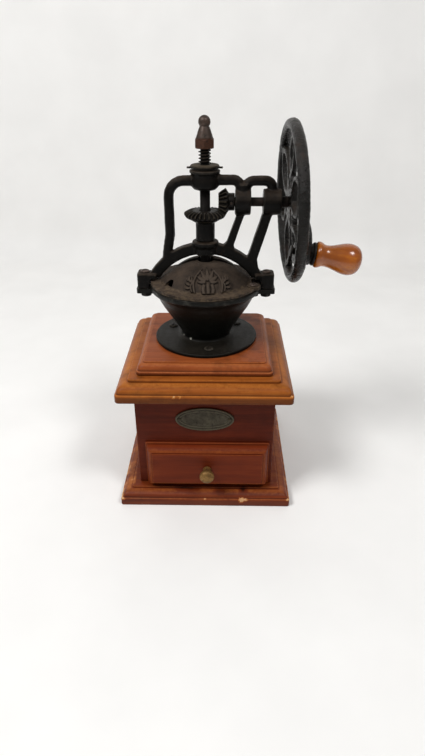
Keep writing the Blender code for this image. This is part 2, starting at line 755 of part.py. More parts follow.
def make_drawer():
    """Overlaid front, two sides, back, floor and turned knob; it slides out along -Y."""
    face = -BODY_WIDTH / 2
    floor = BASE_TOP + SEAT_GAP + DRAWER_CLEARANCE / 2
    outer = drawer_opening() - DRAWER_CLEARANCE
    top = drawer_opening_top() - DRAWER_CLEARANCE - DRAWER_LIP_DROP
    rear = BODY_WIDTH / 2 - WALL_THICKNESS - DRAWER_BACK_ROOM
    front_foot = WALL_FOOT + DRAWER_FRONT_LIFT
    level = front_foot + DRAWER_FRONT_HEIGHT / 2

    rows = moulding(DRAWER_LIP, DRAWER_STEP, DRAWER_RUN, DRAWER_RISER, DRAWER_FRONT_THICKNESS)
    width = 2 * (drawer_opening() + DRAWER_OVERLAP)
    front = rounded_board("drawer_front", width, DRAWER_FRONT_HEIGHT, DRAWER_CORNER, rows)
    front.matrix_world = (
        Matrix.Translation((DRAWER_FRONT_SHIFT, face - SEAT_GAP, level))
        @ Matrix.Rotation(math.pi / 2, 4, "X"))
    knob_x = DRAWER_FRONT_SHIFT
    knob_hole = rod(
        "knob_hole", KNOB_SCREW_RADIUS + BORE_GAP,
        (knob_x, face + OVERRUN, level), (knob_x, face - DRAWER_FRONT_THICKNESS - OVERRUN, level))
    show(cut(front, knob_hole), WOOD)

    for side, name in ((-1, "drawer_side_left"), (1, "drawer_side_right")):
        ends = sorted((side * outer, side * (outer - DRAWER_SIDE)))
        wall = block(name, (ends[0], face, floor), (ends[1], rear, top))
        show(wall, PLAIN_WOOD, smooth=False)
    inside = outer - DRAWER_SIDE - SEAT_GAP
    back = block("drawer_back", (-inside, rear - DRAWER_SIDE, floor), (inside, rear, top))
    show(back, PLAIN_WOOD, smooth=False)
    bottom = block(
        "drawer_bottom", (-inside, face, floor),
        (inside, rear - DRAWER_SIDE - SEAT_GAP, floor + DRAWER_FLOOR))
    show(bottom, PLAIN_WOOD, smooth=False)

    panel = face - SEAT_GAP - DRAWER_FRONT_THICKNESS - SEAT_GAP
    bulb = KNOB_LENGTH - KNOB_NECK
    profile = [(0.0, KNOB_LENGTH)]
    for number in range(1, 7):
        turn = math.pi * KNOB_BULB_SHARE * number / 7
        profile.append((KNOB_RADIUS * math.sin(turn), KNOB_NECK + bulb / 2 * (1 + math.cos(turn))))
    profile += [
        (KNOB_RADIUS / 2, KNOB_NECK),
        (KNOB_RADIUS / 2, EDGE * 2),
        (KNOB_RADIUS * KNOB_FOOT_SHARE, EDGE),
        (KNOB_RADIUS * KNOB_FOOT_SHARE, 0.0),
        (0.0, 0.0),
    ]
    knob = aim(turned("drawer_knob", profile, steps=BOSS_STEPS), (knob_x, panel, level), -AXIS_Y)
    socket = rod(
        "knob_socket", KNOB_SCREW_RADIUS + BORE_GAP, (knob_x, panel + OVERRUN, level),
        (knob_x, panel - KNOB_SCREW_DEPTH - SEAT_GAP, level))
    show(cut(knob, socket), BRASS)
    shank = DRAWER_FRONT_THICKNESS + SEAT_GAP + KNOB_SCREW_DEPTH
    screw = slotted_screw(
        "drawer_knob_screw", KNOB_SCREW_HEAD, KNOB_SCREW_HEAD_HEIGHT, KNOB_SCREW_RADIUS, shank,
        (knob_x, face, level), AXIS_Y)
    show(screw, STEEL)


def make_badge():
    """A bare oval plate with a raised rim, pinned to the front wall at both ends."""
    face = -BODY_WIDTH / 2 - SEAT_GAP
    bm = bmesh.new()
    bmesh.ops.create_circle(bm, cap_ends=True, segments=28, radius=1.0)
    bmesh.ops.scale(bm, vec=(BADGE_WIDTH / 2, BADGE_HEIGHT / 2, 1.0), verts=bm.verts)
    region, verts = raise_region(bm, whole(bm))
    bmesh.ops.translate(bm, vec=(0.0, 0.0, BADGE_THICKNESS), verts=verts)
    top = [part for part in region if isinstance(part, bmesh.types.BMFace)]
    for thickness, depth in ((BADGE_RIM, 0.0), (BADGE_RECESS, -BADGE_RECESS)):
        bmesh.ops.inset_region(
            bm, faces=top, thickness=thickness, depth=depth, use_even_offset=True)
    bmesh.ops.recalc_face_normals(bm, faces=bm.faces)
    badge = new_object("badge_plate", bm)
    badge.matrix_world = (
        Matrix.Translation((0.0, face, BADGE_LEVEL)) @ Matrix.Rotation(math.pi / 2, 4, "X"))
    front = face - BADGE_THICKNESS + BADGE_RECESS
    holes = [
        rod("badge_bore", BADGE_PIN_RADIUS + BORE_GAP, (x, face + OVERRUN, BADGE_LEVEL),
            (x, face - BADGE_THICKNESS - OVERRUN, BADGE_LEVEL))
        for x in badge_pin_places()
    ]
    show(cut(badge, *holes), PEWTER)
    for x, name in zip(badge_pin_places(), ("badge_pin_left", "badge_pin_right")):
        profile = [
            (0.0, BADGE_PIN_HEAD * BADGE_PIN_TOP_SHARE),
            (BADGE_PIN_HEAD * BADGE_PIN_BEND_SHARES[0], BADGE_PIN_HEAD * BADGE_PIN_BEND_SHARES[1]),
            (BADGE_PIN_HEAD, 0.0),
            (BADGE_PIN_RADIUS, 0.0),
            (BADGE_PIN_RADIUS, -BADGE_PIN_DEPTH - BADGE_THICKNESS + BADGE_RECESS),
            (0.0, -BADGE_PIN_DEPTH - BADGE_THICKNESS + BADGE_RECESS),
        ]
        pin = turned(name, profile, steps=10)
        show(aim(pin, (x, front - SEAT_GAP, BADGE_LEVEL), -AXIS_Y), PEWTER)


def bowl_profile():
    """Outer side of the bowl from its rim down, then its inner side back up."""
    shoulder_top = FOOT_TOP + SHOULDER_RISE
    band_foot = RIM_TOP - RIM_BAND
    slope = SHOULDER_RADIUS - NECK_RADIUS
    waist_radius = NECK_RADIUS + slope * BOWL_WAIST_SHARE
    waist_level = FOOT_TOP + SHOULDER_RISE * BOWL_WAIST_RISE_SHARE
    rim_inside = RIM_RADIUS - BOWL_WALL * BOWL_RIM_WALL_SHARE
    outer = [
        (RIM_RADIUS - EDGE, RIM_TOP),
        (RIM_RADIUS, RIM_TOP - EDGE),
        (RIM_RADIUS, band_foot + EDGE),
        (RIM_RADIUS - EDGE * 3, band_foot - EDGE),
        (SHOULDER_RADIUS + slope * BOWL_FLARE_SHARE, shoulder_top + RIM_BAND),
        (SHOULDER_RADIUS, shoulder_top),
        (waist_radius, waist_level),
        (NECK_RADIUS, FOOT_TOP + NECK_RISE),
        (NECK_RADIUS + NECK_RISE, FOOT_TOP + EDGE),
        (NECK_RADIUS + NECK_RISE * 3, FOOT_TOP),
        (FOOT_RADIUS - EDGE, FOOT_TOP),
        (FOOT_RADIUS, FOOT_TOP - EDGE),
        (FOOT_RADIUS, BOWL_FOOT),
    ]
    inner = [
        (NECK_RADIUS - BOWL_WALL, BOWL_FOOT),
        (NECK_RADIUS - BOWL_WALL, FOOT_TOP + NECK_RISE),
        (waist_radius - BOWL_WALL, waist_level + EDGE),
        (SHOULDER_RADIUS - BOWL_WALL, shoulder_top + EDGE),
        (rim_inside, band_foot),
        (rim_inside, RIM_TOP),
    ]
    return outer + inner


def make_bowl():
    """Cast hopper bowl: round foot, cone, rim, two ears and the lid's pivot boss."""
    bowl = turned("hopper_bowl", bowl_profile(), ring=True)
    ears = []
    for side in (-1, 1):
        rows = [(0.0, 0.0), (0.0, EAR_THICKNESS - EDGE), (EDGE, EAR_THICKNESS)]
        length = EAR_REACH - RIM_RADIUS + BOWL_WALL
        ear = rounded_board("bowl_ear", length, EAR_DEPTH, EAR_CORNER / 2, rows)
        ear.location = (side * (EAR_REACH - length / 2), 0.0, EAR_TOP - EAR_THICKNESS)
        ears.append(ear)
    boss = rod(
        "pivot_boss", PIVOT_BOSS, (PIVOT_X, PIVOT_Y, RIM_TOP - PIVOT_BOSS_HEIGHT),
        (PIVOT_X, PIVOT_Y, RIM_TOP - EDGE), BOSS_STEPS)
    join(bowl, *ears, boss)
    holes = [
        rod("foot_screw_hole", FOOT_SCREW_RADIUS + BORE_GAP, (x, y, BOWL_FOOT - OVERRUN),
            (x, y, FOOT_TOP + OVERRUN))
        for x, y in foot_screw_places()
    ]
    holes += [
        rod("bolt_hole", BOLT_RADIUS + BORE_GAP, (x, 0.0, EAR_TOP - EAR_THICKNESS - OVERRUN),
            (x, 0.0, EAR_TOP + OVERRUN))
        for x in (-BOLT_X, BOLT_X)
    ]
    holes += [
        rod("ring_screw_hole", RING_SCREW_RADIUS + BORE_GAP, (x, 0.0, BOWL_FOOT - OVERRUN),
            (x, 0.0, FOOT_TOP - EDGE))
        for x in (-RING_SCREW_CIRCLE, RING_SCREW_CIRCLE)
    ]
    holes.append(rod(
        "pivot_hole", PIVOT_RADIUS + BORE_GAP, (PIVOT_X, PIVOT_Y, RIM_TOP - PIVOT_BOSS_HEIGHT + EDGE),
        (PIVOT_X, PIVOT_Y, RIM_TOP + OVERRUN)))
    show(cut(bowl, *holes), IRON)
    names = ("foot_screw_front", "foot_screw_right", "foot_screw_left")
    for name, (x, y) in zip(names, foot_screw_places()):
        screw = slotted_screw(
            name, FOOT_SCREW_HEAD, FOOT_SCREW_HEAD_HEIGHT, FOOT_SCREW_RADIUS,
            FOOT_SCREW_LENGTH + SEAT_GAP, (x, y, FOOT_TOP + SEAT_GAP), AXIS_Z, FOOT_SCREW_SLOT_TURN)
        show(screw, STEEL)


def dome_sphere(brim, rise):
    """Radius of the sphere whose cap stands on the flange, a brim's width in from its edge."""
    base = FLANGE_RADIUS - brim
    return (base * base + rise * rise) / (2 * rise)


def dome_profile(sphere, rise, wall):
    """A flanged dome over the bowl's rim, open at its top for the spindle."""
    centre = FLANGE_TOP + rise - sphere
    inner_sphere = sphere - wall
    foot_turn = math.asin((FLANGE_TOP - centre) / sphere)
    top_turn = math.acos(SPINDLE_HOLE / sphere)
    count = CURVE_STEPS + 2
    outer = []
    for number in range(count + 1):
        turn = top_turn + (foot_turn - top_turn) * number / count
        outer.append((sphere * math.cos(turn), centre + sphere * math.sin(turn)))
    outer += [
        (FLANGE_RADIUS, FLANGE_TOP),
        (FLANGE_RADIUS, FLANGE_FOOT),
    ]
    foot_turn = math.asin((FLANGE_FOOT - centre) / inner_sphere)
    top_turn = math.acos(SPINDLE_HOLE / inner_sphere)
    inner = []
    for number in range(count + 1):
        turn = foot_turn + (top_turn - foot_turn) * number / count
        inner.append((inner_sphere * math.cos(turn), centre + inner_sphere * math.sin(turn)))
    return outer + inner


def make_hood():
    """The fixed rear half of the dome."""
    sphere = dome_sphere(HOOD_BRIM, HOOD_RISE)
    hood = turned("rear_hood", dome_profile(sphere, HOOD_RISE, HOOD_WALL), ring=True)
    front_half = block(
        "hood_front_half",
        (-RIM_RADIUS - OVERRUN, -RIM_RADIUS - OVERRUN, RIM_TOP - OVERRUN),
        (RIM_RADIUS + OVERRUN, LID_PARTING / 2, FLANGE_TOP + HOOD_RISE + OVERRUN))
    show(cut(hood, front_half), IRON)


def make_lid():
    """The front half of the dome, which swings about an upright screw on its right."""
    sphere = dome_sphere(LID_BRIM, LID_RISE)
    lid = turned("hopper_lid", dome_profile(sphere, LID_RISE, LID_WALL), ring=True)
    rear_half = block(
        "lid_rear_half",
        (-RIM_RADIUS - OVERRUN, -LID_PARTING / 2, RIM_TOP - OVERRUN),
        (RIM_RADIUS + OVERRUN, RIM_RADIUS + OVERRUN, FLANGE_TOP + LID_RISE + OVERRUN))
    corner = block(
        "lid_corner",
        (PIVOT_X - SWING_ROOM, PIVOT_Y + PIVOT_LUG / 2, RIM_TOP - OVERRUN),
        (RIM_RADIUS + OVERRUN * 2, OVERRUN, FLANGE_TOP + OVERRUN))
    lug = rod(
        "lid_lug", PIVOT_LUG, (PIVOT_X, PIVOT_Y, FLANGE_FOOT + EDGE / 4),
        (PIVOT_X, PIVOT_Y, FLANGE_TOP + EDGE), BOSS_STEPS)
    cut(lid, rear_half, corner)
    join(lid, lug)
    notch_side = Vector((math.cos(NOTCH_TURN), math.sin(NOTCH_TURN), 0.0))
    half = NOTCH_WIDTH / 2
    outline = [(-half, -OVERRUN)] + arc((0.0, NOTCH_HEIGHT - half), half, math.pi, 0.0, 8)
    outline.append((half, -OVERRUN))
    turn = Matrix.Rotation(NOTCH_TURN + math.pi / 2, 4, "Z")
    notch_radius = FLANGE_RADIUS - LID_BRIM * NOTCH_SETBACK_SHARE
    place = (
        Matrix.Translation(notch_side * notch_radius + AXIS_Z * (FLANGE_TOP + EDGE))
        @ turn @ Matrix.Rotation(math.pi / 2, 4, "X"))
    outline = [(x, max(y, 0.0)) for x, y in outline]
    notch = plate("lid_notch", [outline], FLANGE_RADIUS / 2, place)
    pivot_hole = rod(
        "lid_pivot_hole", PIVOT_RADIUS + BORE_GAP, (PIVOT_X, PIVOT_Y, RIM_TOP),
        (PIVOT_X, PIVOT_Y, FLANGE_TOP + OVERRUN))
    show(cut(lid, notch, pivot_hole), IRON)
    lug_top = FLANGE_TOP + EDGE
    screw = slotted_screw(
        "lid_pivot_screw", PIVOT_HEAD, PIVOT_HEAD_HEIGHT, PIVOT_RADIUS,
        lug_top + SEAT_GAP - RIM_TOP + PIVOT_BOSS_HEIGHT - EDGE * 2,
        (PIVOT_X, PIVOT_Y, lug_top + SEAT_GAP), AXIS_Z, PIVOT_SLOT_TURN)
    show(screw, STEEL)


def strut(name, foot_turn, width, head_x):
    """A flat slanting bar from the arch up to a shaft boss, splayed at its foot."""
    foot_x = ARCH_ROOT * math.sin(foot_turn)
    foot_z = YOKE_CENTRE_Z + ARCH_ROOT * math.cos(foot_turn)
    head_z = CRANK_AXIS_Z - BOSS_RADIUS / 2
    half = width / 2
    rise = ARCH_BAND / 2 + STRUT_FILLET
    lean = (head_x - foot_x) / (head_z - foot_z)
    outline = [
        (head_x + half, head_z),
        (head_x - half, head_z),
        (foot_x - half + lean * rise, foot_z + rise),
        (foot_x - half - STRUT_FILLET, foot_z),
        (foot_x + half + STRUT_FILLET, foot_z - ARCH_BAND / 4),
        (foot_x + half + lean * rise, foot_z + rise - ARCH_BAND / 4),
    ]
    return plate(name, [outline], STRUT_DEPTH, upright())


def make_yoke():
    """Cast yoke: feet on the ears, arch, left bar, top bar, struts and shaft bosses."""
    middle = (0.0, YOKE_CENTRE_Z)
    outline = arc(middle, ARCH_INNER + ARCH_BAND, ARCH_START, math.pi - ARCH_START, 18)
    outline += arc(middle, ARCH_INNER, math.pi - ARCH_START, ARCH_START, 14)
    yoke = plate("yoke", [outline], ARCH_DEPTH, upright())

    forms = []
    low = FLANGE_TOP + FLANGE_CLEAR
    height = YOKE_FOOT_TOP - EAR_TOP - SEAT_GAP
    rows = [(0.0, 0.0), (0.0, height - EDGE), (EDGE, height)]
    for side in (-1, 1):
        length = YOKE_FOOT_OUTER - YOKE_FOOT_INNER
        foot = rounded_board("yoke_foot", length, YOKE_FOOT_DEPTH, YOKE_FOOT_CORNER, rows)
        foot.location = (side * (YOKE_FOOT_INNER + length / 2), 0.0, EAR_TOP + SEAT_GAP)
        neck_rows = [(0.0, low), (0.0, YOKE_FOOT_TOP - EDGE * 2), (EDGE, YOKE_FOOT_TOP - EDGE)]
        reach = YOKE_FOOT_STANDOFF + YOKE_FOOT_LENGTH / 2 + YOKE_FOOT_NECK
        neck = rounded_board("yoke_foot_neck", reach, YOKE_FOOT_DEPTH - EDGE * 2, EDGE, neck_rows)
        neck.location.x = side * (RIM_RADIUS - YOKE_FOOT_NECK + reach / 2)
        forms += [foot, neck]

    corner_x = LEFT_BAR_X + LEFT_CORNER
    corner_z = TOP_BAR_Z - LEFT_CORNER
    left = arc(middle, ARCH_ROOT, LEFT_ROOT_START, LEFT_ROOT_END, 2)
    left.append((LEFT_BAR_X - BAR_RADIUS * LEFT_BAR_LEAN_SHARE, COLLAR_TOP - BAR_RADIUS))
    left.append((LEFT_BAR_X, COLLAR_TOP + BAR_RADIUS))
    left += arc((corner_x, corner_z), LEFT_CORNER, math.pi, math.pi / 2, 5)
    left.append((0.0, TOP_BAR_Z))
    forms.append(bar("left_bar", [(x, 0.0, z) for x, z in left], BAR_RADIUS))

    boss_one = BOSS_ONE_X + BOSS_ONE_LENGTH / 2
    boss_two = BOSS_TWO_X + BOSS_TWO_LENGTH / 2
    notch = BAR_RADIUS * ELBOW_SPREAD_SHARE
    drop = CRANK_AXIS_Z + BOSS_RADIUS / 2
    elbow_z = TOP_BAR_Z - ELBOW
    first = [(BAR_RADIUS, TOP_BAR_Z + EDGE)]
    first += arc((boss_one - notch - ELBOW, elbow_z + EDGE), ELBOW, math.pi / 2, 0.0, 4)
    first.append((boss_one - notch, drop - EDGE))
    forms.append(bar("top_bar_inner", [(x, 0.0, z) for x, z in first], BAR_RADIUS))
    second = [(boss_one + notch, drop - EDGE * 2)]
    second += arc((boss_one + notch + ELBOW, elbow_z), ELBOW, math.pi, math.pi / 2, 4)
    second += arc((boss_two - ELBOW, elbow_z), ELBOW, math.pi / 2, 0.0, 4)
    second.append((boss_two, drop))
    outer_radius = BAR_RADIUS * OUTER_BAR_SHARE
    forms.append(bar("top_bar_outer", [(x, 0.0, z) for x, z in second], outer_radius))

    for name, start, length in (
        ("shaft_boss_inner", BOSS_ONE_X, BOSS_ONE_LENGTH),
        ("shaft_boss_outer", BOSS_TWO_X, BOSS_TWO_LENGTH),
    ):
        profile = [
            (0.0, length), (BOSS_RADIUS - EDGE, length), (BOSS_RADIUS, length - EDGE),
            (BOSS_RADIUS, EDGE), (BOSS_RADIUS - EDGE, 0.0), (0.0, 0.0),
        ]
        forms.append(aim(turned(name, profile, steps=20), (start, 0.0, CRANK_AXIS_Z), AXIS_X))
    neck_top = elbow_z + BAR_RADIUS
    forms.append(rod(
        "boss_neck", NECK_BOSS_RADIUS, (boss_one, 0.0, drop),
        (boss_one, 0.0, neck_top - EDGE), 12))
    forms.append(strut("strut_inner", STRUT_ONE_TURN, STRUT_ONE_WIDTH, boss_one))
    forms.append(strut("strut_outer", STRUT_TWO_TURN, STRUT_TWO_WIDTH, boss_two - BAR_RADIUS / 2))

    top_foot = TOP_BOSS_TOP - TOP_BOSS_HEIGHT
    rim_foot = TOP_BOSS_TOP - TOP_BOSS_RIM_HEIGHT
    profile = [
        (0.0, TOP_BOSS_TOP),
        (TOP_BOSS_RIM - EDGE, TOP_BOSS_TOP),
        (TOP_BOSS_RIM, TOP_BOSS_TOP - EDGE),
        (TOP_BOSS_RIM, rim_foot),
        (TOP_BOSS_WAIST, rim_foot - EDGE * 3),
        (TOP_BOSS_RADIUS, (rim_foot + top_foot) / 2),
        (TOP_BOSS_RADIUS, top_foot + EDGE * 4),
        (TOP_BOSS_RADIUS - EDGE * 4, top_foot),
        (0.0, top_foot),
    ]
    forms.append(turned("top_boss", profile, steps=20))
    profile = [
        (0.0, COLLAR_TOP),
        (COLLAR_RADIUS - EDGE, COLLAR_TOP),
        (COLLAR_RADIUS, COLLAR_TOP - EDGE),
        (COLLAR_RADIUS, COLLAR_TOP - COLLAR_HEIGHT),
        (0.0, COLLAR_TOP - COLLAR_HEIGHT),
    ]
    forms.append(turned("collar", profile, steps=20))
    join(yoke, *forms)

    bores = [
        rod("spindle_bore_low", SPINDLE_RADIUS + BORE_GAP, (0.0, 0.0, COLLAR_TOP - COLLAR_HEIGHT - OVERRUN),
            (0.0, 0.0, COLLAR_TOP + OVERRUN), BOSS_STEPS),
        rod("spindle_bore_high", SPINDLE_UPPER + BORE_GAP, (0.0, 0.0, top_foot - OVERRUN),
            (0.0, 0.0, TOP_BOSS_TOP + OVERRUN), BOSS_STEPS),
        rod("shaft_bore", SHAFT_RADIUS + BORE_GAP, (BOSS_ONE_X - OVERRUN, 0.0, CRANK_AXIS_Z),
            (BOSS_TWO_X + BOSS_TWO_LENGTH + OVERRUN, 0.0, CRANK_AXIS_Z), BOSS_STEPS),
    ]
    bores += [
        rod(
            "yoke_bolt_hole", BOLT_RADIUS + BORE_GAP, (x, 0.0, EAR_TOP - OVERRUN),
            (x, 0.0, YOKE_FOOT_TOP + OVERRUN))
        for x in (-BOLT_X, BOLT_X)
    ]
    show(cut(yoke, *bores), IRON)

    grip = YOKE_FOOT_TOP + SEAT_GAP - (EAR_TOP - EAR_THICKNESS) + SEAT_GAP + NUT_HEIGHT + BOLT_TAIL
    for x, side in ((-BOLT_X, "left"), (BOLT_X, "right")):
        bolt = slotted_screw(
            "yoke_bolt_" + side, BOLT_HEAD, BOLT_HEAD_HEIGHT, BOLT_RADIUS, grip,
            (x, 0.0, YOKE_FOOT_TOP + SEAT_GAP), AXIS_Z, BOLT_SLOT_TURN)
        show(bolt, STEEL)
        nut = hex_nut("yoke_nut_" + side, NUT_RADIUS, NUT_HEIGHT, BOLT_RADIUS + BORE_GAP,
                      (x, 0.0, EAR_TOP - EAR_THICKNESS - SEAT_GAP), -AXIS_Z)
        show(nut, STEEL)


def bevel_gear(name, teeth, pitch_angle, phase):
    """Teeth of a bevel gear whose apex is its origin; its own Z runs from the body to the apex.

    A toothed outline is drawn in towards the apex, then trimmed to the gear's turned blank.
    """
    addendum = MODULE * ADDENDUM_SHARE
    dedendum = MODULE * DEDENDUM_SHARE
    tip_angle = pitch_angle + math.atan(addendum / CONE_DISTANCE)
    root_angle = pitch_angle - math.atan(dedendum / CONE_DISTANCE)
    depth = CONE_DISTANCE * math.cos(pitch_angle) + MODULE * 2
    near_depth = depth * (1 - TOOTH_FACE_SHARE) * TOOTH_END_SHARE
    bm = bmesh.new()
    bmesh.ops.create_circle(bm, cap_ends=True, segments=teeth * 4, radius=1.0)
    bm.verts.ensure_lookup_table()
    pitch = math.tau / teeth
    root_half = TOOTH_THICKNESS_SHARE * TOOTH_ROOT_WIDTH_SHARE / 2
    tip_half = TOOTH_THICKNESS_SHARE * TOOTH_TIP_SHARE / 2 * TOOTH_TIP_WIDTH_SHARE
    for number, vert in enumerate(bm.verts):
        tooth, corner = divmod(number, 4)
        angle, share = (
            (root_angle, -root_half), (tip_angle, -tip_half), (tip_angle, tip_half), (root_angle, root_half),
        )[corner]
        radius = depth * math.tan(angle)
        turn = phase + (tooth + share) * pitch
        vert.co = (radius * math.cos(turn), radius * math.sin(turn), -depth)
    _, verts = raise_region(bm, whole(bm))
    bmesh.ops.scale(bm, vec=(near_depth / depth,) * 3, verts=verts)
    bmesh.ops.recalc_face_normals(bm, faces=bm.faces)
    return new_object(name, bm)


def gear_blank(pitch_angle):
    """Profile points of a bevel blank on its outer side: front cone, tip cone and back cone."""
    addendum = MODULE * ADDENDUM_SHARE
    dedendum = MODULE * DEDENDUM_SHARE
    across = Vector((math.cos(pitch_angle), math.sin(pitch_angle)))
    along = Vector((math.sin(pitch_angle), -math.cos(pitch_angle)))
    outer = along * CONE_DISTANCE
    inner = along * CONE_DISTANCE * (1 - TOOTH_FACE_SHARE)
    near_share = 1 - TOOTH_FACE_SHARE
    return {
        "inner_root": inner - across * dedendum * near_share,
        "inner_tip": inner + across * (addendum * near_share + EDGE),
        "outer_tip": outer + across * (addendum + EDGE),
        "outer_root": outer - across * dedendum,
    }


def make_gears():
    """Crown gear with its long sleeve on the spindle, and the pinion on the crank shaft."""
    marks = gear_blank(CROWN_ANGLE)
    foot = marks["outer_root"].y - CROWN_WEB
    bore = SPINDLE_RADIUS + BORE_GAP
    top = marks["inner_root"].y + EDGE
    crown = bevel_gear("crown_gear", CROWN_TEETH, CROWN_ANGLE, 0.0)
    blank = turned(
        "crown_blank",
        [
            (0.0, top),
            (marks["inner_root"].x - EDGE, top),
            tuple(marks["inner_tip"]),
            tuple(marks["outer_tip"]),
            tuple(marks["outer_root"]),
            (marks["outer_root"].x - CROWN_WEB, foot),
            (0.0, foot),
        ],
        steps=CROWN_TEETH,
    )
    blank.matrix_world = Matrix.Translation(SHAFT_LEVEL) @ Matrix.Rotation(math.pi / CROWN_TEETH, 4, "Z")
    crown.location = SHAFT_LEVEL
    cut(crown, blank, operation="INTERSECT")
    sleeve = rod("crown_sleeve", SLEEVE_RADIUS, (0.0, 0.0, SLEEVE_FOOT),
                 (0.0, 0.0, CRANK_AXIS_Z + (top + foot) / 2), BOSS_STEPS)
    under = turned(
        "crown_web",
        [
            (0.0, CRANK_AXIS_Z + foot + EDGE / 2),
            (marks["outer_root"].x - CROWN_WEB * CROWN_WEB_FOOT_SHARE, CRANK_AXIS_Z + foot + EDGE / 2),
            (SLEEVE_RADIUS + EDGE, CRANK_AXIS_Z + foot - CROWN_WEB),
            (0.0, CRANK_AXIS_Z + foot - CROWN_WEB),
        ],
        steps=20,
    )
    join(crown, sleeve, under)
    key = keyed_bore("crown_bore", SLEEVE_FOOT - OVERRUN, CRANK_AXIS_Z + top + OVERRUN)
    show(cut(crown, key), IRON)

    marks = gear_blank(math.pi / 2 - CROWN_ANGLE)
    turn = Matrix.Rotation(-math.pi / 2, 4, "Y")
    place = Matrix.Translation(SHAFT_LEVEL) @ turn
    half_tooth = math.pi / PINION_TEETH
    pinion = bevel_gear("pinion", PINION_TEETH, math.pi / 2 - CROWN_ANGLE, math.pi + half_tooth)
    top = marks["inner_root"].y + EDGE
    back = marks["outer_root"].y - EDGE
    blank = turned(
        "pinion_blank",
        [
            (0.0, top),
            (marks["inner_root"].x - EDGE, top),
            tuple(marks["inner_tip"]),
            tuple(marks["outer_tip"]),
            tuple(marks["outer_root"]),
            (marks["outer_root"].x - EDGE, back),
            (0.0, back),
        ],
        steps=PINION_TEETH,
    )
    blank.matrix_world = place
    pinion.matrix_world = place
    cut(pinion, blank, operation="INTERSECT")
    hub_end = BOSS_ONE_X - SEAT_GAP
    hub = rod(
        "pinion_hub", PINION_HUB, (-top - EDGE * 2, 0.0, CRANK_AXIS_Z),
        (hub_end, 0.0, CRANK_AXIS_Z), BOSS_STEPS)
    hub_cut = block(
        "pinion_hub_trim",
        (-top - OVERRUN * 2, -PINION_HUB - OVERRUN, CRANK_AXIS_Z - PINION_HUB - OVERRUN),
        (-back - EDGE * 3, PINION_HUB + OVERRUN, CRANK_AXIS_Z + PINION_HUB + OVERRUN))
    cut(hub, hub_cut)
    join(pinion, hub)
    shaft_hole = rod(
        "pinion_bore", SHAFT_RADIUS + BORE_GAP, (0.0, 0.0, CRANK_AXIS_Z),
        (BOSS_ONE_X + OVERRUN, 0.0, CRANK_AXIS_Z), BOSS_STEPS)
    pin_hole = pinion_pin("pinion_pin_hole", BORE_GAP, OVERRUN)
    show(cut(pinion, shaft_hole, pin_hole), IRON)
    show(pinion_pin("pinion_pin", 0.0, -EDGE), STEEL)


def pinion_pin(name, gap, extra):
    """The cross pin through the pinion's hub and the shaft, or the hole for it."""
    back = -gear_blank(math.pi / 2 - CROWN_ANGLE)["outer_root"].y
    x = (back + BOSS_ONE_X) / 2
    reach = PINION_HUB + extra
    return rod(name, PINION_PIN_RADIUS + gap, (x, -reach, CRANK_AXIS_Z), (x, reach, CRANK_AXIS_Z), 10)


def keyed_bore(name, low, high):
    """A round bore with one flat side that matches the flat on the spindle."""
    bore = rod(name, SPINDLE_RADIUS + BORE_GAP, (0.0, 0.0, low), (0.0, 0.0, high), 20)
    flat = block(
        name + "_flat",
        (-SPINDLE_RADIUS * 2, KEY_FLAT + BORE_GAP, low - OVERRUN),
        (SPINDLE_RADIUS * 2, SPINDLE_RADIUS * 2, high + OVERRUN))
    return cut(bore, flat)


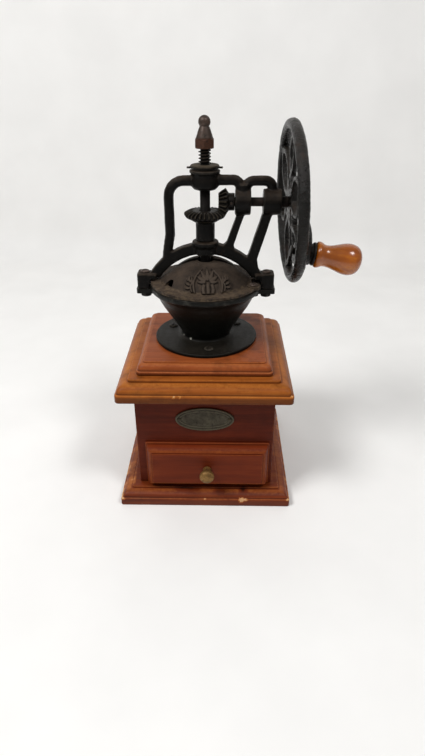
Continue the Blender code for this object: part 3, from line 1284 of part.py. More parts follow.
def make_spindle():
    """Spindle with its key flat, both burrs, the dial, the spring and the finial nut."""
    burr_foot = BURR_TOP - BURR_HEIGHT
    stud_top = FINIAL_FOOT + STUD_IN_NUT
    shoulder = SLEEVE_FOOT + (CRANK_AXIS_Z - SLEEVE_FOOT) * SPINDLE_STEP_RISE_SHARE
    profile = [
        (0.0, stud_top),
        (SPINDLE_STUD, stud_top),
        (SPINDLE_STUD, TOP_BOSS_TOP),
        (SPINDLE_UPPER, TOP_BOSS_TOP - EDGE),
        (SPINDLE_UPPER, shoulder + EDGE),
        (SPINDLE_RADIUS, shoulder),
        (SPINDLE_RADIUS, burr_foot),
        (SPINDLE_STUD, burr_foot - EDGE),
        (SPINDLE_STUD, burr_foot - SPINDLE_FOOT),
        (0.0, burr_foot - SPINDLE_FOOT),
    ]
    spindle = turned("spindle", profile, steps=20)
    flats = [
        block(name, (-SPINDLE_RADIUS * 2, KEY_FLAT, low), (SPINDLE_RADIUS * 2, SPINDLE_RADIUS * 2, high))
        for name, low, high in (
            ("gear_flat", SLEEVE_FOOT - OVERRUN, CRANK_AXIS_Z),
            ("burr_flat", burr_foot - OVERRUN, BURR_TOP + OVERRUN),
        )
    ]
    show(cut(spindle, *flats), STEEL)
    make_burrs(burr_foot)

    dial = turned(
        "grind_dial",
        [
            (DIAL_RADIUS - EDGE, DIAL_TOP),
            (DIAL_RADIUS, DIAL_TOP - EDGE),
            (DIAL_RADIUS, DIAL_TOP - DIAL_PLATE),
            (DIAL_HUB, DIAL_TOP - DIAL_PLATE),
            (DIAL_HUB, DIAL_FOOT),
            (SPINDLE_STUD + BORE_GAP, DIAL_FOOT),
            (SPINDLE_STUD + BORE_GAP, DIAL_TOP),
        ],
        steps=32,
        ring=True,
    )
    ear_z = DIAL_FOOT + DIAL_HUB_HEIGHT / 2 + EDGE / 4
    ear_root = (SPINDLE_STUD + DIAL_HUB) / 2
    ears = [
        rod(
            "dial_ear", DIAL_EAR_RADIUS, (side * ear_root, 0.0, ear_z),
            (side * DIAL_EAR_REACH, 0.0, ear_z), 8)
        for side in (-1, 1)
    ]
    show(join(dial, *ears), IRON)

    show(make_spring(), STEEL)
    hexagon = turned(
        "finial_nut",
        [
            (0.0, HEX_HEIGHT),
            (HEX_RADIUS - EDGE, HEX_HEIGHT),
            (HEX_RADIUS, HEX_HEIGHT - EDGE),
            (HEX_RADIUS, EDGE * 2),
            (HEX_RADIUS - EDGE * 2, 0.0),
            (0.0, 0.0),
        ],
        steps=6,
    )
    hexagon.location.z = FINIAL_FOOT
    cone_foot = FINIAL_FOOT + HEX_HEIGHT
    ball_z = cone_foot + CONE_HEIGHT + BALL_RADIUS * BALL_RISE_SHARE
    profile = [(0.0, ball_z + BALL_RADIUS)]
    profile += [
        (BALL_RADIUS * math.sin(t), ball_z + BALL_RADIUS * math.cos(t))
        for t in (math.pi * number / 8 for number in range(1, 6))
    ]
    profile += [
        (CONE_TOP, cone_foot + CONE_HEIGHT - EDGE * 2),
        (
            CONE_TOP + (CONE_FOOT - CONE_TOP) * CONE_WAIST_SHARE,
            cone_foot + CONE_HEIGHT * CONE_WAIST_RISE_SHARE,
        ),
        (CONE_FOOT, cone_foot + EDGE * 2),
        (CONE_FOOT, cone_foot - EDGE),
        (0.0, cone_foot - EDGE),
    ]
    join(hexagon, turned("finial", profile, steps=BOSS_STEPS))
    bore = rod("finial_bore", SPINDLE_STUD + BORE_GAP, (0.0, 0.0, FINIAL_FOOT - OVERRUN),
               (0.0, 0.0, stud_top + SEAT_GAP), 16)
    show(cut(hexagon, bore), BRASS)


def make_spring():
    """The spring round the stud, one unbroken wire; its least gap to itself is printed."""
    per_turn = 8
    count = int(SPRING_TURNS * per_turn)
    low = SPRING_FOOT + SPRING_WIRE
    climb = SPRING_HEIGHT - 2 * SPRING_WIRE
    points = []
    for number in range(count + 1):
        turn = math.tau * number / per_turn
        points.append(Vector((
            SPRING_RADIUS * math.cos(turn),
            SPRING_RADIUS * math.sin(turn),
            low + climb * number / count,
        )))
    gaps = [
        (points[a] - points[b]).length - 2 * SPRING_WIRE
        for a in range(count + 1) for b in range(a + per_turn // 2, count + 1)
    ]
    print("finial spring least gap between turns, mm:", round(min(gaps) * 1000, 2))
    return bar("finial_spring", points, SPRING_WIRE, resolution=1)


def toothed_cone(name, teeth, radius, depth, foot_radius, low, high, twist):
    """A fluted cone from its foot up to its head, its flutes wound by a twist."""
    bm = bmesh.new()
    bmesh.ops.create_circle(bm, cap_ends=True, segments=teeth * 2, radius=1.0)
    bm.verts.ensure_lookup_table()
    for number, vert in enumerate(bm.verts):
        reach = foot_radius - (depth if number % 2 else 0.0)
        turn = math.tau * number / (teeth * 2)
        vert.co = (reach * math.cos(turn), reach * math.sin(turn), low)
    levels = 3
    region = whole(bm)
    for level in range(levels):
        region, verts = raise_region(bm, region)
        before = foot_radius + (radius - foot_radius) * level / levels
        after = foot_radius + (radius - foot_radius) * (level + 1) / levels
        bmesh.ops.scale(bm, vec=(after / before, after / before, 1.0), verts=verts)
        bmesh.ops.rotate(
            bm, cent=(0.0, 0.0, 0.0), matrix=Matrix.Rotation(twist / levels, 3, "Z"), verts=verts)
        bmesh.ops.translate(bm, vec=(0.0, 0.0, (high - low) / levels), verts=verts)
    bmesh.ops.recalc_face_normals(bm, faces=bm.faces)
    return new_object(name, bm)


def make_burrs(burr_foot):
    """The burr cone on the spindle's foot, and the grooved ring fixed under the bowl."""
    cone = toothed_cone(
        "inner_burr", BURR_TEETH, BURR_HEAD_RADIUS, BURR_TOOTH_DEPTH, BURR_FOOT_RADIUS,
        burr_foot, BURR_TOP, BURR_TWIST)
    bore = keyed_bore("burr_bore", burr_foot - OVERRUN, BURR_TOP + OVERRUN)
    show(cut(cone, bore), IRON)
    nut = hex_nut("burr_nut", BURR_NUT_RADIUS, BURR_NUT_HEIGHT, SPINDLE_STUD + BORE_GAP,
                  (0.0, 0.0, burr_foot - SEAT_GAP - EDGE), -AXIS_Z)
    show(nut, STEEL)

    ring_top = BOWL_FOOT - SEAT_GAP
    ring_foot = ring_top - RING_HEIGHT
    flange_foot = ring_top - RING_FLANGE_THICKNESS
    ring = turned(
        "burr_ring",
        [
            (0.0, ring_top),
            (RING_FLANGE, ring_top),
            (RING_FLANGE, flange_foot),
            (RING_RADIUS, flange_foot),
            (RING_RADIUS, ring_foot),
            (0.0, ring_foot),
        ],
        steps=24,
    )
    slope = (BURR_FOOT_RADIUS - BURR_HEAD_RADIUS) / BURR_HEIGHT
    bottom = ring_foot - OVERRUN
    top = ring_top + OVERRUN
    room = GRIND_GAP + BURR_TOOTH_DEPTH / 2
    hollow = toothed_cone(
        "ring_hollow", BURR_TEETH + 3,
        BURR_FOOT_RADIUS - slope * (top - burr_foot) + room + BURR_TOOTH_DEPTH,
        BURR_TOOTH_DEPTH / 2,
        BURR_FOOT_RADIUS - slope * (bottom - burr_foot) + room + EDGE,
        bottom, top, -BURR_TWIST)
    holes = [
        rod("ring_hole", RING_SCREW_RADIUS + BORE_GAP, (x, 0.0, flange_foot - OVERRUN),
            (x, 0.0, ring_top + OVERRUN))
        for x in (-RING_SCREW_CIRCLE, RING_SCREW_CIRCLE)
    ]
    show(cut(ring, hollow, *holes), IRON)
    for x, side in ((-RING_SCREW_CIRCLE, "left"), (RING_SCREW_CIRCLE, "right")):
        screw = slotted_screw(
            "ring_screw_" + side, RING_SCREW_HEAD, RING_SCREW_HEAD_HEIGHT, RING_SCREW_RADIUS,
            RING_FLANGE_THICKNESS + SEAT_GAP * 2 + FOOT_THICKNESS - EDGE * 2,
            (x, 0.0, flange_foot - SEAT_GAP), -AXIS_Z)
        show(screw, STEEL)


def pointed_oval(root, tip, half_width, count):
    """A long leaf outline from root to tip along +X, with a point at each end."""
    length = tip - root
    upper = []
    for number in range(count + 1):
        share = number / count
        upper.append((root + length * share, half_width * math.sin(math.pi * share) ** OVAL_FULLNESS_SHARE))
    lower = [(x, -y) for x, y in reversed(upper[1:-1])]
    return upper + lower


def turned_outline(outline, turn):
    cos = math.cos(turn)
    sin = math.sin(turn)
    return [(x * cos - y * sin, x * sin + y * cos) for x, y in outline]


def make_flywheel():
    """Cast openwork wheel: rim, hub, three leaf loops, curls between them and the crank boss."""
    middle = WHEEL_RADIUS - RIM_DEPTH / 2
    profile = [
        (middle + RIM_DEPTH / 2 * math.cos(t), RIM_WIDTH / 2 * math.sin(t))
        for t in (math.pi / 2 - math.tau * number / 8 for number in range(8))
    ]
    wheel = turned("flywheel", profile, steps=WHEEL_STEPS, ring=True)
    wheel.matrix_world = wheel_plane(WHEEL_X)

    forms = []
    for number in range(LOOP_COUNT):
        turn = LOOP_TURN + number * math.tau / LOOP_COUNT
        outer = pointed_oval(LOOP_ROOT, LOOP_REACH, LOOP_HALF_WIDTH, 12)
        inner = pointed_oval(
            LOOP_ROOT + STRIP_WIDTH * 2, LOOP_REACH - STRIP_WIDTH * OVAL_TIP_SHARE,
            LOOP_HALF_WIDTH - STRIP_WIDTH, 10)
        outlines = [turned_outline(outer, turn), turned_outline(inner, turn)]
        forms.append(plate("wheel_loop", outlines, WEB_THICKNESS, wheel_plane(WHEEL_X)))
        turn += math.pi / LOOP_COUNT
        outer = pointed_oval(CURL_ROOT, LOOP_REACH, CURL_HALF_WIDTH, 8)
        inner = pointed_oval(
            CURL_ROOT + CURL_STRIP * 2, LOOP_REACH - CURL_STRIP * OVAL_TIP_SHARE,
            CURL_HALF_WIDTH - CURL_STRIP, 8)
        outlines = [turned_outline(outer, turn), turned_outline(inner, turn)]
        forms.append(plate("wheel_curl", outlines, CURL_THICKNESS, wheel_plane(WHEEL_X)))
        eye = (RING_EYE_CIRCLE * math.cos(turn), RING_EYE_CIRCLE * math.sin(turn))
        outlines = [
            arc(eye, RING_EYE_RADIUS, 0.0, math.tau * 11 / 12, 11),
            arc(eye, RING_EYE_RADIUS - CURL_STRIP, 0.0, math.tau * 7 / 8, 7),
        ]
        eye_thickness = (WEB_THICKNESS + CURL_THICKNESS) / 2
        forms.append(plate("wheel_eye", outlines, eye_thickness, wheel_plane(WHEEL_X)))
    profile = [
        (0.0, HUB_LENGTH / 2),
        (HUB_RADIUS - EDGE * 2, HUB_LENGTH / 2),
        (HUB_RADIUS, WEB_THICKNESS / 2 + EDGE),
        (HUB_RADIUS, -WEB_THICKNESS / 2 - EDGE),
        (HUB_RADIUS - EDGE * 2, -hub_inner_reach()),
        (0.0, -hub_inner_reach()),
    ]
    hub = turned("wheel_hub", profile, steps=BOSS_STEPS)
    hub.matrix_world = wheel_plane(WHEEL_X)
    forms.append(hub)
    boss = turned(
        "crank_boss",
        [
            (0.0, CRANK_BOSS_REACH),
            (CRANK_BOSS_RADIUS - EDGE, CRANK_BOSS_REACH),
            (CRANK_BOSS_RADIUS, CRANK_BOSS_REACH - EDGE),
            (CRANK_BOSS_RADIUS, CRANK_BOSS_REACH / 3),
            (CRANK_BOSS_FOOT, -EDGE * 2),
            (CRANK_BOSS_FOOT, -RIM_WIDTH / 2),
            (CRANK_BOSS_RADIUS, -RIM_WIDTH / 2 - WEB_THICKNESS / 2),
            (0.0, -RIM_WIDTH / 2 - WEB_THICKNESS / 2),
        ],
        steps=BOSS_STEPS,
    )
    forms.append(aim(boss, CRANK_POINT, CRANK_AXIS))
    join(wheel, *forms)
    bore = rod("wheel_bore", SHAFT_RADIUS + BORE_GAP, (WHEEL_X - HUB_LENGTH, 0.0, CRANK_AXIS_Z),
               (WHEEL_X + HUB_LENGTH, 0.0, CRANK_AXIS_Z), BOSS_STEPS)
    stud_hole = rod("stud_hole", STUD_RADIUS + BORE_GAP, CRANK_POINT - CRANK_AXIS * RIM_WIDTH * 2,
                    CRANK_POINT + CRANK_AXIS * (CRANK_BOSS_REACH + OVERRUN))
    show(cut(wheel, bore, stud_hole), IRON)


def hub_inner_reach():
    """How far the hub stands in from the wheel's middle, towards the yoke."""
    return WEB_THICKNESS / 2


def make_crank():
    """Crank shaft, the nut on its end, and the stud, ferrule and grip."""
    start = CONE_DISTANCE * math.sin(CROWN_ANGLE) * SHAFT_START_SHARE
    shoulder_start = BOSS_TWO_X + BOSS_TWO_LENGTH + SEAT_GAP
    shoulder_end = WHEEL_X - hub_inner_reach() - SEAT_GAP
    hub_end = WHEEL_X + HUB_LENGTH / 2
    end = hub_end + SEAT_GAP + WHEEL_NUT_HEIGHT * SHAFT_IN_NUT_SHARE
    profile = [
        (0.0, end), (SHAFT_RADIUS - EDGE, end), (SHAFT_RADIUS, end - EDGE),
        (SHAFT_RADIUS, shoulder_end),
        (SHAFT_SHOULDER, shoulder_end), (SHAFT_SHOULDER, shoulder_start),
        (SHAFT_RADIUS, shoulder_start),
        (SHAFT_RADIUS, start + EDGE), (SHAFT_RADIUS - EDGE, start), (0.0, start),
    ]
    shaft = aim(turned("crank_shaft", profile, steps=20), SHAFT_LEVEL, AXIS_X)
    show(cut(shaft, pinion_pin("shaft_pin_hole", BORE_GAP, OVERRUN)), STEEL)
    nut = turned(
        "wheel_nut",
        [
            (0.0, WHEEL_NUT_HEIGHT + EDGE * 2),
            (WHEEL_NUT_RADIUS * WHEEL_NUT_TOP_SHARE, WHEEL_NUT_HEIGHT),
            (WHEEL_NUT_RADIUS, WHEEL_NUT_HEIGHT * WHEEL_NUT_TOP_SHARE),
            (WHEEL_NUT_RADIUS, 0.0),
            (0.0, 0.0),
        ],
        steps=6,
    )
    aim(nut, (hub_end + SEAT_GAP, 0.0, CRANK_AXIS_Z), AXIS_X)
    hole = rod("wheel_nut_bore", SHAFT_RADIUS + BORE_GAP, (hub_end - OVERRUN, 0.0, CRANK_AXIS_Z),
               (end + SEAT_GAP, 0.0, CRANK_AXIS_Z))
    show(cut(nut, hole), STEEL)

    inner_face = RIM_WIDTH / 2 + WEB_THICKNESS / 2 + SEAT_GAP
    ferrule_foot = CRANK_BOSS_REACH + SEAT_GAP
    grip_foot = ferrule_foot + FERRULE_LENGTH + SEAT_GAP
    stud_in_grip = GRIP_LENGTH * STUD_IN_GRIP_SHARE
    stud = turned(
        "crank_stud",
        [
            (0.0, grip_foot + stud_in_grip),
            (STUD_RADIUS, grip_foot + stud_in_grip),
            (STUD_RADIUS, -inner_face),
            (STUD_HEAD, -inner_face),
            (STUD_HEAD * STUD_HEAD_TOP_SHARE, -inner_face - STUD_HEAD_HEIGHT * STUD_HEAD_RISE_SHARE),
            (0.0, -inner_face - STUD_HEAD_HEIGHT),
        ],
        steps=16,
    )
    show(aim(stud, CRANK_POINT, CRANK_AXIS), STEEL)
    ferrule = turned(
        "crank_ferrule",
        [
            (FERRULE_RADIUS, grip_foot - SEAT_GAP),
            (FERRULE_RADIUS, grip_foot - SEAT_GAP - EDGE * 2),
            (FERRULE_RADIUS * FERRULE_WAIST_SHARE, ferrule_foot + FERRULE_LENGTH * FERRULE_WAIST_RISE_SHARE),
            (FERRULE_RADIUS * FERRULE_FOOT_SHARE, ferrule_foot),
            (STUD_RADIUS + BORE_GAP, ferrule_foot),
            (STUD_RADIUS + BORE_GAP, grip_foot - SEAT_GAP),
        ],
        steps=20,
        ring=True,
    )
    show(aim(ferrule, CRANK_POINT, CRANK_AXIS), IRON)

    rows_shares = (
        (1.0, 0.0), (0.992, 0.28), (0.955, 0.60), (0.90, 0.82), (0.83, 0.94), (0.74, 1.0), (0.64, 0.985),
        (0.53, 0.90), (0.43, 0.78), (0.34, 0.675), (0.25, GRIP_NECK_SHARE), (0.17, 0.66), (0.115, 0.78),
        (0.075, GRIP_COLLAR_SHARE), (0.035, GRIP_COLLAR_SHARE), (0.0, GRIP_ROOT_SHARE), (0.0, 0.0),
    )
    profile = [(GRIP_RADIUS * wide, GRIP_LENGTH * along) for along, wide in rows_shares]
    grip = aim(turned("grip", profile, steps=20), CRANK_POINT + CRANK_AXIS * grip_foot, CRANK_AXIS)
    bore = rod("grip_bore", STUD_RADIUS + BORE_GAP,
               CRANK_POINT + CRANK_AXIS * (grip_foot - OVERRUN),
               CRANK_POINT + CRANK_AXIS * (grip_foot + stud_in_grip + SEAT_GAP))
    show(cut(grip, bore), GRIP_WOOD)


make_box()
make_drawer()
make_badge()
make_bowl()
make_hood()
make_lid()
make_yoke()
make_gears()
make_spindle()
make_flywheel()
make_crank()
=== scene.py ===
"""Looks of a hand-cranked coffee mill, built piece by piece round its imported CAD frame."""

import math

import bmesh
import bpy
import numpy as np
from mathutils import Matrix, Vector, noise


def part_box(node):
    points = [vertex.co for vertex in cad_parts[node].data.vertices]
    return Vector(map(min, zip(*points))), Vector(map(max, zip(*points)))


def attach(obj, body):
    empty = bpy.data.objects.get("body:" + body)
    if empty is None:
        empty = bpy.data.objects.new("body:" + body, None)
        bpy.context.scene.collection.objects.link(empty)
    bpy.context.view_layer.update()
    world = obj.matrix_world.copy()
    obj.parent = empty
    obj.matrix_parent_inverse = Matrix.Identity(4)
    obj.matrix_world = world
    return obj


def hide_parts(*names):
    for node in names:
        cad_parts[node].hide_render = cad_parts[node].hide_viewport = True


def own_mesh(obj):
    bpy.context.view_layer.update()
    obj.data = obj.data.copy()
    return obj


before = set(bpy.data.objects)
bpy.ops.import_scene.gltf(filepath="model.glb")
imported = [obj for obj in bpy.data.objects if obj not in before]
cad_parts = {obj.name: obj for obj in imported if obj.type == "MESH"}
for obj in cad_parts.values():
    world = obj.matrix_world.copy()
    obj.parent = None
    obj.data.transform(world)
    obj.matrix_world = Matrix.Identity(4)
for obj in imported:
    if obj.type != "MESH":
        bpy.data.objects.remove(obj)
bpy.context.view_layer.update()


# Base board. A square of stained hardwood under the whole mill. A router cut its edge to a
# square lip, a small step and an ovolo. Its two ends are rubbed pale along their edges, and
# the left one is scuffed as well.
def linear(colour):
    """A written sRGB colour such as "8a4a20" as the linear values that a node takes."""
    parts = [int(colour[at:at + 2], 16) / 255 for at in (0, 2, 4)]
    return tuple(c / 12.92 if c <= 0.04045 else ((c + 0.055) / 1.055) ** 2.4 for c in parts) + (1.0,)


def set_sockets(tree, node, **settings):
    """Set a node's properties and inputs, or link the inputs. i and a number names an input too."""
    for name, value in settings.items():
        if hasattr(node, name):
            setattr(node, name, value)
            continue
        place = node.inputs[int(name[1:]) if name[1:].isdigit() else name.replace("_", " ")]
        if isinstance(value, bpy.types.NodeSocket):
            tree.links.new(value, place)
        else:
            place.default_value = linear(value) if isinstance(value, str) else value


def add_node(tree, kind, out=0, stops=(), **settings):
    """Add a node with its settings, links and colour stops, and hand back one of its outputs."""
    node = tree.nodes.new("ShaderNode" + kind)
    set_sockets(tree, node, **settings)
    for number, (place, colour) in enumerate(stops):
        points = node.color_ramp.elements
        point = points[number] if number < 2 else points.new(place)
        point.position = place
        point.color = linear(colour)
    return node.outputs[out]


def new_material(name):
    """An empty material for a real one: its tree, its shader and its Object coordinates."""
    material = bpy.data.materials.new(name)
    material.use_nodes = True
    tree = material.node_tree
    place = add_node(tree, "TexCoord", out="Object")
    return material, tree, tree.nodes["Principled BSDF"], place


def stained_wood(name, grain, deep="43160a", warm="6f2d10", bright="8e4a1f", gloss=0.36, rub_and_highlight="a9622c",
                 polish=0.2, smeared=0.25):
    """Planed hardwood, stained and varnished, with its grain along X or Y.

    The stain gives the eye three tones of brown, deep in the pores and bright between them.
    The attribute "wear" is about 1 on edges rubbed to a yellow-brown, which on the mouldings'
    edges and ovolos is partly a painted highlight, over 1.3 where the wood is bare, and below
    0 where the wood is darker: in grooves and patches, and as painted shade on the lips. The
    varnish has a roughness, gloss, and a strength of its reflections, polish, and dark smears
    from hands lie on it, as strong as smeared.
    """
    material, tree, shader, place = new_material(name)
    along = {"X": (0.07, 1.0, 1.0), "Y": (1.0, 0.07, 1.0)}[grain]
    long = add_node(tree, "Mapping", Vector=place, Scale=along)
    # growth rings about 6 mm apart, fine fibres about 1 mm apart, cloudy stain 40 mm across,
    # rubbed patches about 3 mm across and smears about 18 mm across
    figure = add_node(tree, "TexNoise", Vector=long, Scale=170.0, Detail=5.0, Roughness=0.62,
                      Distortion=0.6)
    fibre = add_node(tree, "TexNoise", Vector=long, Scale=950.0, Detail=3.0, Roughness=0.6)
    cloud = add_node(tree, "TexNoise", Vector=place, Scale=26.0, Detail=2.0)
    mixed = add_node(tree, "Math", operation="MULTIPLY_ADD", i0=fibre, i1=0.35, i2=figure)
    mixed = add_node(tree, "Math", operation="MULTIPLY_ADD", i0=cloud, i1=0.55, i2=mixed)
    tone = add_node(tree, "MapRange", Value=mixed, From_Min=0.50, From_Max=1.45)
    colour = add_node(tree, "ValToRGB", Fac=tone, stops=((0.0, deep), (1.0, bright), (0.5, warm)))
    worn = add_node(tree, "Attribute", out="Fac", attribute_name="wear")
    patch = add_node(tree, "TexNoise", Vector=place, Scale=380.0, Detail=4.0, Roughness=0.65)
    rub = add_node(tree, "Math", operation="MULTIPLY_ADD", i0=patch, i1=0.9, i2=worn)
    # share of the rubbed tone: real wear, and on the mouldings' edges and ovolo tops partly a painted
    # highlight
    shine = add_node(tree, "MapRange", Value=rub, From_Min=0.75, From_Max=1.75)
    bare = add_node(tree, "MapRange", Value=rub, From_Min=1.72, From_Max=1.90)
    # darker where "wear" is below 0: in grooves and patches, and as painted shade on the mouldings' lips
    darkening_and_shade = add_node(tree, "MapRange", Value=worn, From_Min=0.0, From_Max=-1.0)
    smear = add_node(tree, "TexNoise", Vector=place, Scale=55.0, Detail=5.0, Roughness=0.6)
    smear = add_node(tree, "MapRange", Value=smear, From_Min=0.52, From_Max=0.74, To_Max=smeared)
    for share, tint in ((shine, rub_and_highlight), (smear, "2a1008"), (darkening_and_shade, "240902"), (bare, "c79c70")):
        colour = add_node(tree, "Mix", out=2, data_type="RGBA", i0=share, i6=colour, i7=tint)
    rough = add_node(tree, "Math", operation="MULTIPLY_ADD", i0=bare, i1=0.35, i2=gloss)
    rough = add_node(tree, "Math", operation="MULTIPLY_ADD", i0=patch, i1=0.16, i2=rough)
    height = add_node(tree, "Math", operation="MULTIPLY_ADD", i0=fibre, i1=0.6, i2=patch)
    bump = add_node(tree, "Bump", Strength=0.22, Distance=0.0003, Height=height)
    set_sockets(tree, shader, Base_Color=colour, Roughness=rough, Normal=bump, IOR=1.5,
                Specular_IOR_Level=polish)
    return material


def whole(bm):
    """All points, edges and faces of a shape, as the operators take them."""
    return bm.verts[:] + bm.edges[:] + bm.faces[:]


def points_of(parts):
    """The points among the points, edges and faces that an operator hands back."""
    return [part for part in parts if isinstance(part, bmesh.types.BMVert)]


def wear_layer(bm):
    """The attribute "wear" on the points of a shape, made new where it has none."""
    return bm.verts.layers.float.get("wear") or bm.verts.layers.float.new("wear")


def face_outwards(bm):
    """Turn every face of a closed shape outwards, whichever way the faces were made."""
    bmesh.ops.recalc_face_normals(bm, faces=bm.faces)
    if bm.calc_volume(signed=True) < 0:
        bmesh.ops.reverse_faces(bm, faces=bm.faces)


def finish_piece(bm, name, material, body, slot, *stands_for, crease=38, place=None):
    """Make the finished object, with its place in its mesh, and let it ride on its body."""
    if place is not None:
        bm.transform(place)
    mesh = bpy.data.meshes.new(name)
    bm.to_mesh(mesh)
    bm.free()
    mesh.materials.append(material)
    mesh.shade_smooth()
    mesh.set_sharp_from_angle(angle=math.radians(crease))
    piece = bpy.data.objects.new(name, mesh)
    bpy.context.scene.collection.objects.link(piece)
    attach(piece, body)
    if stands_for:
        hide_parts(*stands_for)
    return piece


def routed_rows(lip, step, run, riser, height, soft=0.0006, painted_shade=0.2):
    """Rows of (inset, height, wear) up a routed edge: lip, groove, ovolo, thin riser and field.

    Lip and riser are the heights of their faces, and step and run the widths of the groove
    and the ovolo. Soft is how far edges are eased, and painted shade is how far the lip's
    face, most at its foot, and the foot of the ovolo are darkened as painted shade.
    """
    # the lip's face, darker towards its foot, is painted shade; its top edge and the riser's edge are rubbed
    # lighter, partly as painted highlight lines; the groove and the riser's foot are darker
    rows = [(soft, 0.0, -0.3 - painted_shade), (soft * 0.3, soft * 0.3, -painted_shade), (0.0, soft, -painted_shade),
            (0.0, lip * 0.35, -painted_shade), (0.0, lip * 0.65, -painted_shade), (0.0, lip - soft * 2, -painted_shade * 0.5),
            (soft * 0.25, lip - soft * 0.8, 0.45), (soft, lip - soft * 0.15, 0.7), (step * 0.8, lip, 0.2),
            (step, lip + soft * 0.2, -0.8)]
    rise = height - riser - lip
    steps = 9
    for number in range(1, steps + 1):
        turn = math.pi / 2 * number / steps
        # the ovolo is lighter towards its top, partly rubbed and partly a painted highlight where it faces
        # up, and its foot gets painted shade
        rub_and_highlight = 0.10 + 0.50 * math.sin(turn * 1.15) ** 2
        foot_shade = painted_shade * (1.0 - math.sin(turn)) ** 1.5
        wear = rub_and_highlight - foot_shade if number < steps else -0.3
        rows.append((step + run * (1 - math.cos(turn)) * 0.995, lip + rise * math.sin(turn), wear))
    top = step + run
    rows += [(top, height - riser, -0.9), (top, height - soft * 0.5, 0.3),
             (top + soft * 0.2, height - soft * 0.15, 0.65), (top + soft * 0.7, height, 0.5),
             (top + soft * 3, height, 0.0)]
    return rows


def moulded_board(width, depth, corner, rows, spacing=0.001, chips=()):
    """A board, or an oval if it has no corner, on XY, whose outline follows the rows.

    A chip is its x, y and z, its reach, and how deep it cuts.
    """
    bm = bmesh.new()
    wear = wear_layer(bm)
    if corner:
        bmesh.ops.create_grid(bm, x_segments=1, y_segments=1, size=0.5)
        bmesh.ops.scale(bm, vec=(width, depth, 1.0), verts=bm.verts)
        bmesh.ops.bevel(bm, geom=bm.verts[:], offset=corner, offset_type="OFFSET", segments=5, profile=0.5,
                        affect="VERTICES", material=-1)
    else:
        bmesh.ops.create_circle(bm, cap_ends=True, segments=128, radius=0.5)
        bmesh.ops.scale(bm, vec=(width, depth, 1.0), verts=bm.verts)
    for edge in [edge for edge in bm.edges if edge.calc_length() > spacing * 2]:
        bmesh.ops.subdivide_edges(bm, edges=[edge], cuts=int(edge.calc_length() / spacing))
    inset, level = rows[0][:2]
    across, along = width - 2 * inset, depth - 2 * inset
    bmesh.ops.scale(bm, vec=(across / width, along / depth, 1.0), verts=bm.verts)
    bmesh.ops.translate(bm, vec=(0.0, 0.0, level), verts=bm.verts)
    region = whole(bm)
    for inset, height, share in rows[1:]:
        region = bmesh.ops.extrude_face_region(bm, geom=region)["geom"]
        verts = points_of(region)
        new_across, new_along = width - 2 * inset, depth - 2 * inset
        bmesh.ops.scale(bm, vec=(new_across / across, new_along / along, 1.0), verts=verts)
        bmesh.ops.translate(bm, vec=(0.0, 0.0, height - level), verts=verts)
        for vert in verts:
            vert[wear] = share
        across, along, level = new_across, new_along, height
    for vert in bm.verts:
        for x, y, z, reach, cut in chips:
            gap = (vert.co - Vector((x, y, z))).length / reach
            if gap < 1.0:
                ragged = 1.0 - gap + 0.7 * noise.noise(vert.co * 900)
                if ragged > 0.15:
                    vert[wear] = CHIPPED
                vert.co.xy *= 1.0 - cut * max(ragged, 0.0) / vert.co.xy.length
        if vert[wear] and vert.co.xy.length > 0:
            # the edge has been sanded and knocked, so it is out of true by 0.1 mm
            broad, fine = abs(noise.noise(vert.co * 120)), abs(noise.noise(vert.co * 420))
            vert.co.xy *= 1.0 - 0.0016 * broad - 0.001 * fine
    face_outwards(bm)
    return bm


CHIPPED = 1.38
BASE_CORNER = 0.0016
# heights of the lip and the riser, and between them the widths of the groove and the ovolo
BASE_MOULDING = {"lip": 0.0066, "step": 0.0014, "run": 0.0068, "riser": 0.0009}
BASE_CHIPS = ((0.0285, -0.0657, 0.0060, 0.0029, 0.0006), (0.0315, -0.0657, 0.0063, 0.0020, 0.0004),
              (0.0005, -0.0657, 0.0066, 0.0014, 0.0004), (-0.0650, -0.0650, 0.0062, 0.0012, 0.0005),
              (0.0648, -0.0650, 0.0062, 0.0013, 0.0004))
# how far in the two ends are rubbed and the left one is scuffed, and the height where each begins
RUBBED_BAND, RUBBED_FROM = 0.0030, 0.0050
SCUFFED_BAND, SCUFFED_FROM = 0.0105, 0.0080
# darker patches below the drawer: x, y and half the width of each, and half the depth of all
BASE_DARK_PATCHES = ((-0.014, -0.0585, 0.011), (0.011, -0.0600, 0.005), (0.030, -0.0590, 0.004))
DARK_PATCH_DEPTH = 0.0045
low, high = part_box("base_plinth")
# hardwood under red-brown stain and thin satin varnish: warm, with soft highlights
base_wood = stained_wood("stained_hardwood_base", "X")
base = moulded_board(high.x - low.x, high.y - low.y, BASE_CORNER,
                     routed_rows(height=high.z - low.z, **BASE_MOULDING), chips=BASE_CHIPS)
wear = wear_layer(base)
for vert in base.verts:
    ragged = noise.noise(vert.co * 70) + 0.7 * noise.noise(vert.co * 260)
    edge_gap = high.x - abs(vert.co.x)
    if edge_gap < RUBBED_BAND and vert.co.z > RUBBED_FROM:
        vert[wear] += max(0.0, 0.32 + 1.6 * ragged)
    elif vert.co.x < low.x + SCUFFED_BAND and vert.co.z > SCUFFED_FROM and vert[wear] > -0.95:
        vert[wear] += max(0.0, 0.05 + 0.8 * ragged)
    for x, y, reach in BASE_DARK_PATCHES:
        gap = math.hypot((vert.co.x - x) / reach, (vert.co.y - y) / DARK_PATCH_DEPTH)
        if gap < 1.0:
            vert[wear] -= 1.3 * (1.0 - gap) * (1.0 + ragged)
finish_piece(base, "base_board", base_wood, "mill", "wood", "base_plinth")
